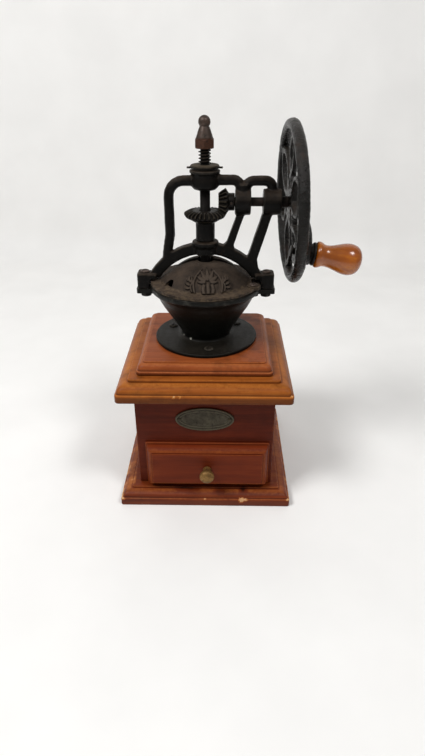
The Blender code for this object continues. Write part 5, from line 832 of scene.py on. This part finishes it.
# nothing is raised beyond these, across and up in mm
RELIEF_HALF, RELIEF_TOP = 26, 30
strokes = MIDDLE_LEAVES + HALF_PALMETTE + [[(-x, y, w) for x, y, w in stroke] for stroke in HALF_PALMETTE]
strokes = np.array([point for stroke in strokes for point in stroke])


def relief_at(across, up):
    """How far a point of the dome is raised in the relief, and how deep in its shaded ground."""
    gap = np.hypot(strokes[:, 0] - across, strokes[:, 1] - up) / strokes[:, 2]
    near = gap.min()
    rise = math.sqrt(max(0.0, 1.0 - near * near * 0.8)) if near < 1.118 else 0.0
    shade = max(0.0, 1.0 - abs(near - 1.5))
    return rise, shade


lid = turned(dome_profile(LID_RADIUS, LID_CENTRE, LID_WALL, LID_BASE, 0.00042), steps=560, closed=True)
half_cover(lid, HOOD_GAP, -1)
NOTCH_TURN, NOTCH_HALF, NOTCH_SILL = math.radians(215), 0.0040, 0.0004
NOTCH_OUT, NOTCH_Z = 0.0299, 0.1632
NOTCH_PLACE = Matrix.Translation((NOTCH_OUT * math.cos(NOTCH_TURN), NOTCH_OUT * math.sin(NOTCH_TURN),
                                  NOTCH_Z))
arch = [(-NOTCH_HALF, -NOTCH_SILL)]
arch += [(NOTCH_HALF * math.cos(math.pi - math.pi * step / 16),
          NOTCH_SILL + NOTCH_HALF * math.sin(math.pi * step / 16)) for step in range(17)]
arch += [(NOTCH_HALF, -NOTCH_SILL)]
notch = bmesh.new()
notch.faces.new([notch.verts.new((x, y, -0.010)) for x, y in arch])
far = bmesh.ops.extrude_face_region(notch, geom=whole(notch))["geom"]
bmesh.ops.translate(notch, vec=(0, 0, 0.020), verts=points_of(far))
notch.transform(NOTCH_PLACE @ Matrix.Rotation(NOTCH_TURN + math.pi / 2, 4, "Z") @ ON_EDGE)
# the right corner is cut away so that the lid can swing clear of the yoke's foot
CORNER_LOW, CORNER_HIGH = (0.0335, -0.0120, 0.1585), (0.060, 0.002, 0.1646)
LUG, LUG_BORE = (0.0050, 0.1609, 0.1631), (0.0017, 0.158, 0.166)
lid = shaped_by(lid, "DIFFERENCE", block(CORNER_LOW, CORNER_HIGH), notch)
lid = shaped_by(lid, "UNION", rod(*LUG, PIVOT))
lid = shaped_by(lid, "DIFFERENCE", rod(*LUG_BORE, PIVOT))
wear = wear_layer(lid)
centre = Vector((0.0, 0.0, LID_CENTRE))
roughen(lid, (0.00018, 90), (0.00012, 380), (0.00006, 900))
for vert in lid.verts:
    if vert.co.y > -HOOD_GAP - 0.0002:
        vert.co.y = -HOOD_GAP
        continue
    out = vert.co - centre
    if out.length < LID_RADIUS - 0.0008 or vert.co.z < FLANGE_TOP + 0.0004:
        continue
    azimuth = math.atan2(vert.co.x, -vert.co.y)
    up = (math.asin(min(1.0, out.z / out.length)) - math.acos(LID_BASE / LID_RADIUS)) * LID_RADIUS * 1000
    across = (azimuth * LID_BASE - RELIEF_MIDDLE) * 1000 * (1.0 - up * 0.012)
    if abs(across) < RELIEF_HALF and up < RELIEF_TOP:
        rise, shade = relief_at(across, up)
        swell = max(max(0.0, 1.0 - math.hypot((across - x) / wide, (up - y) / tall) ** 4)
                    for x, y, wide, tall in SWELLS)
        vert.co = centre + out * (1.0 + (RELIEF_HEIGHT * rise + SWELL_HEIGHT * swell) / out.length)
        vert[wear] = rise * 0.72
        if rise < 0.3:
            vert.co -= out.normalized() * GROUND_DEPTH * shade
            vert[wear] = -0.8 * shade
# the hood's iron, rougher still, with a flange that ground coffee has stained tan
lid_iron = japanned_iron("dusty_cast_iron_lid", pits=0.7, tan="57493a", below=FLANGE_TOP + 0.0003,
                         **old_cover)
finish_piece(lid, "lid", lid_iron, "lid", "iron", "hopper_lid", crease=50)
pivot_screw = slotted_screw("lid_pivot_screw", head=0.0030, rise=0.0013, slot=0.0007, cut=0.0006,
                            shank=0.0014, turn=math.radians(-35), cropped=0.0034)
finish_piece(pivot_screw, "lid_screw", rusty_steel, "mill", "iron", "lid_pivot_screw")


# Yoke. One iron casting stands on the bowl's ears and carries every shaft: an arch over the
# cover, a cranked arm on the left, two bearings on the right and a boss on top. The sand
# left its skin rough, and its forms run into each other with small fillets.
def casting(forms, grain=0.0006, rounds=4):
    """Run several closed forms into one, with the fillets and soft edges of a sand mould."""
    together = bmesh.new()
    for form in forms:
        mesh = bpy.data.meshes.new("form")
        form.to_mesh(mesh)
        form.free()
        together.from_mesh(mesh)
        bpy.data.meshes.remove(mesh)
    body = hold(together)
    melt = body.modifiers.new("melt", "REMESH")
    melt.mode = "VOXEL"
    melt.voxel_size = grain
    ease = body.modifiers.new("ease", "SMOOTH")
    ease.factor = 0.5
    ease.iterations = rounds
    return baked(body)


def node_copy(node):
    """A merged copy of a CAD node's mesh."""
    bm = bmesh.new()
    bm.from_mesh(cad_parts[node].data)
    bmesh.ops.remove_doubles(bm, verts=bm.verts, dist=0.000001)
    return bm


def mark_edges(bm, gain=5.0, rounds=3):
    """Write how far each point stands out of its neighbours to the attribute "wear"."""
    wear = wear_layer(bm)
    bm.normal_update()
    bm.verts.index_update()
    near = [[edge.other_vert(vert).index for edge in vert.link_edges] for vert in bm.verts]
    spots = [vert.co for vert in bm.verts]
    proud = [sum((spot - spots[other]).normalized().dot(vert.normal) for other in around)
             / max(1, len(around)) for vert, spot, around in zip(bm.verts, spots, near)]
    for _ in range(rounds):
        proud = [(value + sum(proud[other] for other in around) / max(1, len(around))) / 2
                 for value, around in zip(proud, near)]
    for vert, value in zip(bm.verts, proud):
        vert[wear] = max(-1.0, min(1.1, value * gain))


# rough cast iron under old japan: nearly black, with brown dust on what faces up
japan = japanned_iron("black_japanned_cast_iron", skin="090807", thin="100e0c", dust="3f3329", rust="291b14",
                      worn="38332d", dusty=0.58, rusty=0.30, gloss=0.32, pits=0.35, glint=0.10)
# fillings of the feet's inner corners: near and far side, half the width, foot and top
FOOT_FILLS = ((0.0413, 0.0450, 0.0058, 0.1571, 0.1655), (0.0405, 0.0430, 0.0060, 0.1607, 0.1670))
foot_fills = [block((min(side * near, side * far), -half, foot), (max(side * near, side * far), half, top))
              for near, far, half, foot, top in FOOT_FILLS for side in (-1, 1)]
boss_lip = turned([(0.0062, 0.2352), (0.0088, 0.2366), (0.0104, 0.2374), (0.0104, 0.2393), (0.0062, 0.2393)],
                  steps=96, closed=True)
guide_lip = turned([(0.0060, 0.1836), (0.0083, 0.1866), (0.0094, 0.1888), (0.0094, 0.1913), (0.0060, 0.1913)],
                   steps=96, closed=True)
yoke = casting([node_copy("yoke"), *foot_fills, boss_lip, guide_lip])
mark_edges(yoke)
roughen(yoke, (0.00016, 110), (0.00007, 480))
finish_piece(yoke, "yoke_casting", japan, "mill", "iron", "yoke", crease=60)


# Yoke bolts and nuts. A slotted bolt through each foot of the yoke and ear of the bowl, with
# a hexagonal nut below. The bolts are bare steel gone brown, and the nuts are black.
def hexagon(across, low, high, bore, ease=0.0005):
    """A hexagonal nut whose corners are turned down at both ends, with a bore if given."""
    bm = bmesh.new()
    wear_layer(bm)
    bmesh.ops.create_cone(bm, cap_ends=True, segments=6, radius1=across, radius2=across, depth=high - low)
    bmesh.ops.translate(bm, vec=(0, 0, (high + low) / 2), verts=bm.verts)
    turned_down = turned([(0, low), (across * 0.88, low), (across, low + ease), (across, high - ease),
                          (across * 0.88, high), (0, high)], steps=48)
    bm = shaped_by(bm, "INTERSECT", turned_down)
    if bore:
        bm = shaped_by(bm, "DIFFERENCE", rod(bore, low - 0.001, high + 0.001))
    return bm


NUT_BORE = 0.0021
for side in ("left", "right"):
    bolt = slotted_screw("yoke_bolt_" + side, head=0.0034, rise=0.0013, slot=0.0009, cut=0.0007, shank=0.0019,
                         turn=math.radians(30), filed=0.0009)
    finish_piece(bolt, "bolt_" + side, rusty_steel, "mill", "steel", "yoke_bolt_" + side)
    low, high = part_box("yoke_nut_" + side)
    nut = hexagon((high.x - low.x) / 2, low.z, high.z, bore=NUT_BORE)
    bmesh.ops.translate(nut, vec=((low.x + high.x) / 2, 0, 0), verts=nut.verts)
    finish_piece(nut, "nut_" + side, dull_steel, "mill", "steel", "yoke_nut_" + side)


# Gears. A bevel pinion on the crank shaft drives the crown gear, whose sleeve is keyed to the
# spindle. Both are cast iron with the teeth as cast, dark with old grease.
SLEEVE_IN, SLEEVE_OUT, SLEEVE_LENGTH = 0.0050, 0.0067, 0.0118
# bare cast iron under old black grease: nearly black, with dust caught in the grease
greasy_iron = japanned_iron("greasy_cast_iron_gears", skin="080706", thin="100d0b", dust="29221b",
                            rust="21170f", worn="3b352c", dusty=0.34, rusty=0.4, gloss=0.32, pits=0.3,
                            glint=0.10)
low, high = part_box("crown_gear")
sleeve = turned([(SLEEVE_IN, low.z), (SLEEVE_OUT, low.z), (SLEEVE_OUT, low.z + SLEEVE_LENGTH),
                 (SLEEVE_IN, low.z + SLEEVE_LENGTH)], closed=True)
crown = casting([node_copy("crown_gear"), sleeve], grain=0.0004, rounds=3)
mark_edges(crown)
finish_piece(crown, "crown_wheel", greasy_iron, "crown", "iron", "crown_gear", crease=60)
pinion = casting([node_copy("pinion")], grain=0.0004, rounds=3)
mark_edges(pinion)
finish_piece(pinion, "pinion_wheel", greasy_iron, "crank", "iron", "pinion", crease=60)
dress(rusty_steel, "pinion_pin")


# Spindle and burrs. The spindle hangs the inner burr in the throat, through the crown gear,
# and its thin threaded top carries the dial, the spring and the finial.
spindle = node_copy("spindle")
bmesh.ops.dissolve_limit(spindle, angle_limit=math.radians(1), verts=spindle.verts, edges=spindle.edges)
# turned steel under dried black oil: dark brown and dull, with no bare metal showing
spindle_steel = aged_metal("oiled_steel_spindle", "15110e", "0e0b09", "080706", shine=0.40, tarnish=0.56,
                           metal=0.1, pits=0.2, glint=0.10)
finish_piece(spindle, "spindle_rod", spindle_steel, "spindle_body", "steel", "spindle")
# hard cast iron, bare: dark grey, with ground coffee in its grooves
burr_iron = japanned_iron("hard_cast_iron_burrs", skin="1f1d1a", thin="2c2925", dust="4a3928", rust="3a271b",
                          worn="6d675e", dusty=0.6, rusty=0.2, gloss=0.42, pits=0.3)
dress(burr_iron, "inner_burr", "burr_ring")
dress(rusty_steel, "burr_nut", "ring_screw_left", "ring_screw_right")


# Setting dial. A small round plate with two ears, turned by hand to set the grind. It sits
# on the yoke's top boss, under the spring.
dial = casting([node_copy("grind_dial")], grain=0.0003, rounds=3)
mark_edges(dial)
# cast iron, its japan gone brown and thin: dull, under more dust than the yoke
dial_iron = japanned_iron("brown_cast_iron_dial", skin="110e0c", thin="1d1814", dust="4c4234", rust="33231a",
                          worn="4a4238", dusty=0.85, rusty=0.40, gloss=0.40, pits=0.3, glint=0.14)
finish_piece(dial, "setting_dial", dial_iron, "adjuster", "iron", "grind_dial", crease=60)


# Spring. A short coil of steel wire stands on the dial and pushes the finial and the spindle
# up.
WIRE, COIL, TURNS, SQUEEZED = 0.00042, 0.00375, 4.25, 0.922
# drawn wire under dark rust: brown-black, with a thin line of light along each turn
spring_steel = aged_metal("rusty_spring_wire", "352a21", "1b1511", "0f0b09", shine=0.38, tarnish=0.55,
                          metal=0.3, pits=0.15, glint=0.2)
low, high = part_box("finial_spring")
steps = 170
wire = bpy.data.curves.new("spring_wire", "CURVE")
wire.dimensions = "3D"
wire.bevel_depth = WIRE
wire.bevel_resolution = 3
wire.use_fill_caps = True
path = wire.splines.new("POLY")
path.points.add(steps)
for number, point in enumerate(path.points):
    turn = math.tau * TURNS * number / steps
    rise = low.z + WIRE + (high.z - low.z - 2 * WIRE) * number / steps
    point.co = (COIL * math.cos(turn), COIL * math.sin(turn), rise, 1.0)
coil = bpy.data.objects.new("spring_wire", wire)
bpy.context.scene.collection.objects.link(coil)
coil = baked(coil)
bmesh.ops.remove_doubles(coil, verts=coil.verts, dist=0.00000001)
face_outwards(coil)
spring = finish_piece(coil, "spring", spring_steel, "spindle_body", "steel", "finial_spring")
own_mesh(spring)


# Finial. A hexagonal nut with a cone and a ball turned on it, screwed down on the spindle's
# top. The hexagon is rusty, and the cone and ball are brown as old bronze.
HEX_SIZE, HEX_TOP, CONE_TOP, BALL = 0.0070, 0.2584, 0.2662, 0.0040
FINIAL_BORE, FINIAL_BORE_TOP = 0.0030, 0.2617
# turned bronze gone brown: soft highlights on the cone and the ball, and red rust on the hexagon
bronze = aged_metal("brown_bronze_finial", "4b3a30", "2c211a", "17110d", shine=0.34, tarnish=0.52, metal=0.4,
                    pits=0.35, below=HEX_TOP + 0.0001, rust="43230f")
low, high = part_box("finial_nut")
ball_middle = high.z - BALL
hex_part = hexagon(HEX_SIZE, low.z, HEX_TOP, bore=0, ease=0.0009)
cone = [(0, HEX_TOP - 0.002), (0.0056, HEX_TOP - 0.002), (0.0057, HEX_TOP + 0.0003),
        (0.0053, HEX_TOP + 0.0014), (0.0048, HEX_TOP + 0.0030), (0.0042, HEX_TOP + 0.0048),
        (0.0034, CONE_TOP - 0.0010), (0.0029, CONE_TOP)]
ball = [(BALL * math.cos(math.radians(turn)), ball_middle + BALL * math.sin(math.radians(turn)))
        for turn in range(-42, 90, 6)] + [(0, high.z)]
finial = shaped_by(hex_part, "UNION", turned(cone + ball, steps=64))
finial = shaped_by(finial, "DIFFERENCE", rod(FINIAL_BORE, low.z - 0.001, FINIAL_BORE_TOP))
finish_piece(finial, "finial", bronze, "spindle_body", "brass", "finial_nut")


# Crank shaft. A plain steel rod through the pinion and both bearings, with a thicker collar
# that the wheel is pushed against. What shows of it is rusty.
AXIS_HEIGHT = 0.2182
ALONG_X = Matrix.Translation((0.0, 0.0, AXIS_HEIGHT)) @ Matrix.Rotation(math.pi / 2, 4, "Y")
# turned steel under brown rust and oil: dark, with a weak line of light along it
shaft_steel = aged_metal("rusty_steel_shaft", "2b2019", "1b1512", "100d0b", shine=0.38, tarnish=0.56,
                         metal=0.3, pits=0.3, glint=0.2)
low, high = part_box("crank_shaft")
SHAFT, COLLAR, COLLAR_FOOT, COLLAR_TOP, PIN_BORE = 0.0030, 0.0037, 0.0526, 0.0570, 0.0009
shaft_profile = [(0, low.x), (SHAFT, low.x), (SHAFT, COLLAR_FOOT), (COLLAR, COLLAR_FOOT),
                 (COLLAR, COLLAR_TOP), (SHAFT, COLLAR_TOP), (SHAFT, high.x), (0, high.x)]
shaft = turned(soften(shaft_profile, 0.0004, closed=False), steps=48)
pin_low, pin_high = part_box("pinion_pin")
pin_hole = rod(PIN_BORE, -0.01, 0.01)
pin_hole.transform(Matrix.Translation(((pin_low.x + pin_high.x) / 2, 0, AXIS_HEIGHT)) @ ON_EDGE)
shaft.transform(ALONG_X)
shaft = shaped_by(shaft, "DIFFERENCE", pin_hole)
finish_piece(shaft, "shaft", shaft_steel, "crank", "steel", "crank_shaft")


# Flywheel. One heavy iron casting: a round-sectioned rim, a hub, and between them three wide
# pointed loops and three slim ones. It sits on the shaft a little out of true, and a domed
# nut holds it.
WHEEL_X, RIM, RIM_DEEP, RIM_WIDE = 0.0596, 0.0504, 0.0066, 0.0078
# half the depth and half the width of the rim's oval section, and how far in it is shaped
ROUND_DEEP, ROUND_WIDE, ROUND_IN = 0.0033, 0.0038, -0.0024
# the leaf by the handle keeps its form: its middle and reach
LEAF_Y, LEAF_Z, LEAF_REACH = -0.0325, 0.1975, 0.0150
# black japan over rough iron: glossier than the yoke from hands, and rubbed on its edges
wheel_iron = japanned_iron("worn_cast_iron_wheel", skin="0b0a08", thin="14110e", dust="332b24", rust="2a1e18",
                           worn="3f3931", dusty=0.32, rusty=0.40, gloss=0.22, pits=0.9, glint=0.22)
rim_section = [(RIM - RIM_DEEP / 2, -RIM_WIDE / 2), (RIM + RIM_DEEP / 2, -RIM_WIDE / 2),
               (RIM + RIM_DEEP / 2, RIM_WIDE / 2), (RIM - RIM_DEEP / 2, RIM_WIDE / 2)]
rim = turned(closer(soften(rim_section, 0.0028, steps=6), 0.001), steps=240, closed=True)
rim.transform(Matrix.Translation((WHEEL_X, 0.0, AXIS_HEIGHT)) @ Matrix.Rotation(math.pi / 2, 4, "Y"))
HANDLE_POINT, HANDLE_AXIS = Vector((0.0635, -0.030488, 0.192617)), Vector((0.987688, 0.0, -0.156434))
ALONG_HANDLE = Matrix.Translation(HANDLE_POINT) @ HANDLE_AXIS.to_track_quat("Z", "Y").to_matrix().to_4x4()
LEAN, YAW, DROP = math.radians(-2.6), math.radians(2.4), 0.0011
OUT_OF_TRUE = (Matrix.Translation((WHEEL_X, 0.0, AXIS_HEIGHT)) @ Matrix.Rotation(YAW, 4, "Z")
               @ Matrix.Rotation(LEAN, 4, "Y") @ Matrix.Translation((-WHEEL_X, 0.0, -AXIS_HEIGHT - DROP)))
boss = [(0, -0.0030), (0.0082, -0.0030), (0.0088, 0.0008), (0.0078, 0.0042), (0, 0.0042)]
boss = turned(soften(boss, 0.0008, closed=False), steps=64)
boss.transform(OUT_OF_TRUE.inverted() @ ALONG_HANDLE)
# a solid leaf behind the handle: its middle, its tilt and half its three sizes
LEAF_MIDDLE, LEAF_TILT, LEAF_HALVES = (0.0645, -0.0345, 0.2020), math.radians(-22), (0.0038, 0.0048, 0.0145)
web = bmesh.new()
bmesh.ops.create_uvsphere(web, u_segments=32, v_segments=20, radius=1.0)
web.transform(Matrix.Translation(LEAF_MIDDLE) @ Matrix.Rotation(LEAF_TILT, 4, "X")
              @ Matrix.Diagonal((*LEAF_HALVES, 1.0)))
wheel = casting([node_copy("flywheel"), rim, boss, web], grain=0.00065, rounds=9)
for vert in wheel.verts:
    # the rim is round in section, and only the leaf with the handle's boss stands out of it
    spoke = Vector((0.0, vert.co.y, vert.co.z - AXIS_HEIGHT))
    deep, wide = spoke.length - RIM, vert.co.x - WHEEL_X
    over = math.hypot(deep / ROUND_DEEP, wide / ROUND_WIDE)
    leaf_gap = (vert.co - Vector((vert.co.x, LEAF_Y, LEAF_Z))).length
    if over > 1.0 and deep > ROUND_IN and leaf_gap > LEAF_REACH:
        vert.co += spoke.normalized() * deep * (1 / over - 1) + Vector((wide * (1 / over - 1), 0, 0))
wheel.transform(OUT_OF_TRUE)
mark_edges(wheel, gain=3.0)
roughen(wheel, (0.00024, 70), (0.00018, 380), (0.00008, 900))
finish_piece(wheel, "wheel", wheel_iron, "crank", "iron", "flywheel", crease=60)
WHEEL_NUT, WHEEL_NUT_BORE, WHEEL_NUT_END, DOME_RISE = 0.0056, 0.0031, 0.0672, 0.0008
low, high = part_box("wheel_nut")
wheel_nut = hexagon(WHEEL_NUT, low.x, high.x - DOME_RISE, bore=0, ease=0.0006)
dome = turned([(0, low.x + 0.001), (0.0047, low.x + 0.001), (0.0047, high.x - 0.001),
               (0.0038, high.x - 0.0004), (0.0022, high.x - 0.0001), (0, high.x)], steps=48)
wheel_nut = shaped_by(wheel_nut, "UNION", dome)
wheel_nut = shaped_by(wheel_nut, "DIFFERENCE", rod(WHEEL_NUT_BORE, low.x - 0.001, WHEEL_NUT_END))
wheel_nut.transform(ALONG_X)
finish_piece(wheel_nut, "nut_of_wheel", rusty_steel, "crank", "steel", "wheel_nut")


# Handle. A steel stud riveted in the wheel's leaf-shaped boss carries a dark iron ferrule and
# a loose grip, turned from pale hardwood and varnished to a glossy amber.
stud = [(0, -0.0065), (0.0036, -0.0065), (0.0036, -0.0051), (0.0022, -0.0051), (0.0022, 0.0361), (0, 0.0361)]
stud = turned(soften(stud, 0.0006, closed=False), steps=32)
finish_piece(stud, "stud", dull_steel, "crank", "steel", "crank_stud", place=ALONG_HANDLE)
FERRULE_FOOT, FERRULE_LENGTH, FERRULE_RADIUS, FERRULE_BORE = 0.0049, 0.0048, 0.0076, 0.00228
FERRULE_ROWS = [(0.88, 0.0), (0.90, 0.0007), (0.84, 0.0016), (0.84, 0.0026), (0.97, 0.0034), (1.0, 0.0040),
                (1.0, FERRULE_LENGTH)]
ferrule = [(FERRULE_BORE, FERRULE_FOOT)]
ferrule += [(radius * FERRULE_RADIUS, FERRULE_FOOT + along) for radius, along in FERRULE_ROWS]
ferrule += [(FERRULE_BORE, FERRULE_FOOT + FERRULE_LENGTH)]
ferrule = turned(soften(ferrule, 0.0003), steps=64, closed=True)
finish_piece(ferrule, "ferrule", dull_steel, "crank", "iron", "crank_ferrule", place=ALONG_HANDLE)
GRIP_FOOT, GRIP_LENGTH, GRIP_RADIUS, GRIP_BORE, BORE_DEPTH = 0.0100, 0.0318, 0.0104, 0.0025, 0.0265
GRIP_ROWS = [(0.992, 0.28), (0.955, 0.60), (0.90, 0.82), (0.83, 0.94), (0.74, 1.0), (0.64, 0.985),
             (0.53, 0.90), (0.43, 0.80), (0.34, 0.715), (0.25, 0.665), (0.17, 0.69), (0.115, 0.79),
             (0.075, 0.83), (0.035, 0.83), (0.0, 0.72)]
grip_profile = [(0.0, GRIP_FOOT + GRIP_LENGTH)]
grip_profile += [(radius * GRIP_RADIUS, GRIP_FOOT + along * GRIP_LENGTH) for along, radius in GRIP_ROWS]
grip_profile += [(GRIP_BORE, GRIP_FOOT), (GRIP_BORE, GRIP_FOOT + BORE_DEPTH), (0.0, GRIP_FOOT + BORE_DEPTH)]
grip_profile = soften(soften(grip_profile, 0.0012, closed=False), 0.0003, steps=2, closed=False)
grip = turned(grip_profile, steps=96)
# pale hardwood under thick amber varnish: a clear orange-brown with a sharp highlight
grip_wood, tree, shader, place = new_material("varnished_hardwood_grip")
turn = HANDLE_AXIS.to_track_quat("Z", "Y").inverted().to_euler()
upright = add_node(tree, "Mapping", Vector=place, Rotation=turn)
long = add_node(tree, "Mapping", Vector=upright, Scale=(1.0, 1.0, 0.08))
# growth rings about 3 mm apart, fibres about 0.5 mm, and cloudy varnish about 12 mm across
figure = add_node(tree, "TexNoise", Vector=long, Scale=330.0, Detail=5.0, Distortion=0.5)
fibre = add_node(tree, "TexNoise", Vector=long, Scale=2000.0, Detail=2.0)
cloud = add_node(tree, "TexNoise", Vector=place, Scale=80.0, Detail=3.0)
mixed = add_node(tree, "Math", operation="MULTIPLY_ADD", i0=fibre, i1=0.25, i2=figure)
mixed = add_node(tree, "Math", operation="MULTIPLY_ADD", i0=cloud, i1=0.7, i2=mixed)
tone = add_node(tree, "MapRange", Value=mixed, From_Min=0.50, From_Max=1.50)
amber = add_node(tree, "ValToRGB", Fac=tone, stops=((0.0, "743607"), (1.0, "bc7117"), (0.5, "964c0a")))
rough = add_node(tree, "MapRange", Value=cloud, To_Min=0.14, To_Max=0.34)
bump = add_node(tree, "Bump", Strength=0.08, Distance=0.0002, Height=mixed)
set_sockets(tree, shader, Base_Color=amber, Roughness=rough, Normal=bump, IOR=1.5, Coat_Weight=0.35,
            Coat_Roughness=0.08)
finish_piece(grip, "wooden_grip", grip_wood, "grip_body", "grip_wood", "grip", place=ALONG_HANDLE)


# Studio. A pale paper floor that sweeps up behind, a strong soft light from the left and a
# weaker one from the right, and the camera that the photograph was taken with: near, wide,
# and looking down on the mill.
scene = bpy.context.scene
for name in ("Cube", "Light", "Camera"):
    if name in bpy.data.objects:
        bpy.data.objects.remove(bpy.data.objects[name])
WALL_Y, FLOOR_HALF, SWEEP = 0.56, 2.4, 0.05
sweep = bmesh.new()
line = [(-2.0, 0.0), (WALL_Y - SWEEP, 0.0)]
line += [(WALL_Y - SWEEP * (1 - math.sin(math.radians(turn))), SWEEP * (1 - math.cos(math.radians(turn))))
         for turn in range(10, 100, 10)]
line += [(WALL_Y, 2.2)]
verts = [sweep.verts.new((-FLOOR_HALF, y, z)) for y, z in line]
edges = [sweep.edges.new(pair) for pair in zip(verts, verts[1:])]
wide = bmesh.ops.extrude_edge_only(sweep, edges=edges)["geom"]
bmesh.ops.translate(sweep, vec=(FLOOR_HALF * 2, 0, 0), verts=points_of(wide))
bmesh.ops.recalc_face_normals(sweep, faces=sweep.faces)
mesh = bpy.data.meshes.new("floor")
sweep.to_mesh(mesh)
sweep.free()
mesh.shade_smooth()
floor = bpy.data.objects.new("floor", mesh)
scene.collection.objects.link(floor)
# matt studio paper: off-white and even, with clouds about 70 mm across that barely show
paper, tree, shader, place = new_material("pale_floor_paper")
grain = add_node(tree, "TexNoise", Vector=place, Scale=14.0, Detail=3.0)
tone = add_node(tree, "ValToRGB", Fac=grain, stops=((0.3, "f1f0ee"), (0.7, "f6f5f3")))
set_sockets(tree, shader, Base_Color=tone, Roughness=0.9, Specular_IOR_Level=0.1)
mesh.materials.append(paper)


def soft_light(name, place, target, size, power):
    """A square lamp that looks at a point."""
    lamp = bpy.data.lights.new(name, "AREA")
    lamp.shape = "SQUARE"
    lamp.size = size
    lamp.energy = power
    thing = bpy.data.objects.new(name, lamp)
    thing.location = place
    thing.rotation_euler = (Vector(target) - Vector(place)).to_track_quat("-Z", "Y").to_euler()
    scene.collection.objects.link(thing)


MILL_MIDDLE = (0, 0, 0.12)
soft_light("window", (-0.65, -0.45, 1.10), MILL_MIDDLE, size=0.40, power=10.0)
soft_light("ceiling", (0.55, -0.50, 1.15), MILL_MIDDLE, size=0.30, power=5.5)
world = bpy.data.worlds.new("studio")
scene.world = world
world.use_nodes = True
set_sockets(world.node_tree, world.node_tree.nodes["Background"], Color="f4f4f4", Strength=0.27)
scene.view_settings.view_transform = "Standard"
camera_data = bpy.data.cameras.new("camera")
camera_data.lens = 26.095
camera_data.sensor_width = 36.0
camera = bpy.data.objects.new("camera", camera_data)
camera.location = (0.01269302, -0.38746957, 0.30263826)
camera.rotation_euler = (1.0449986, 0.0023330, 0.0190428)
scene.collection.objects.link(camera)
scene.camera = camera
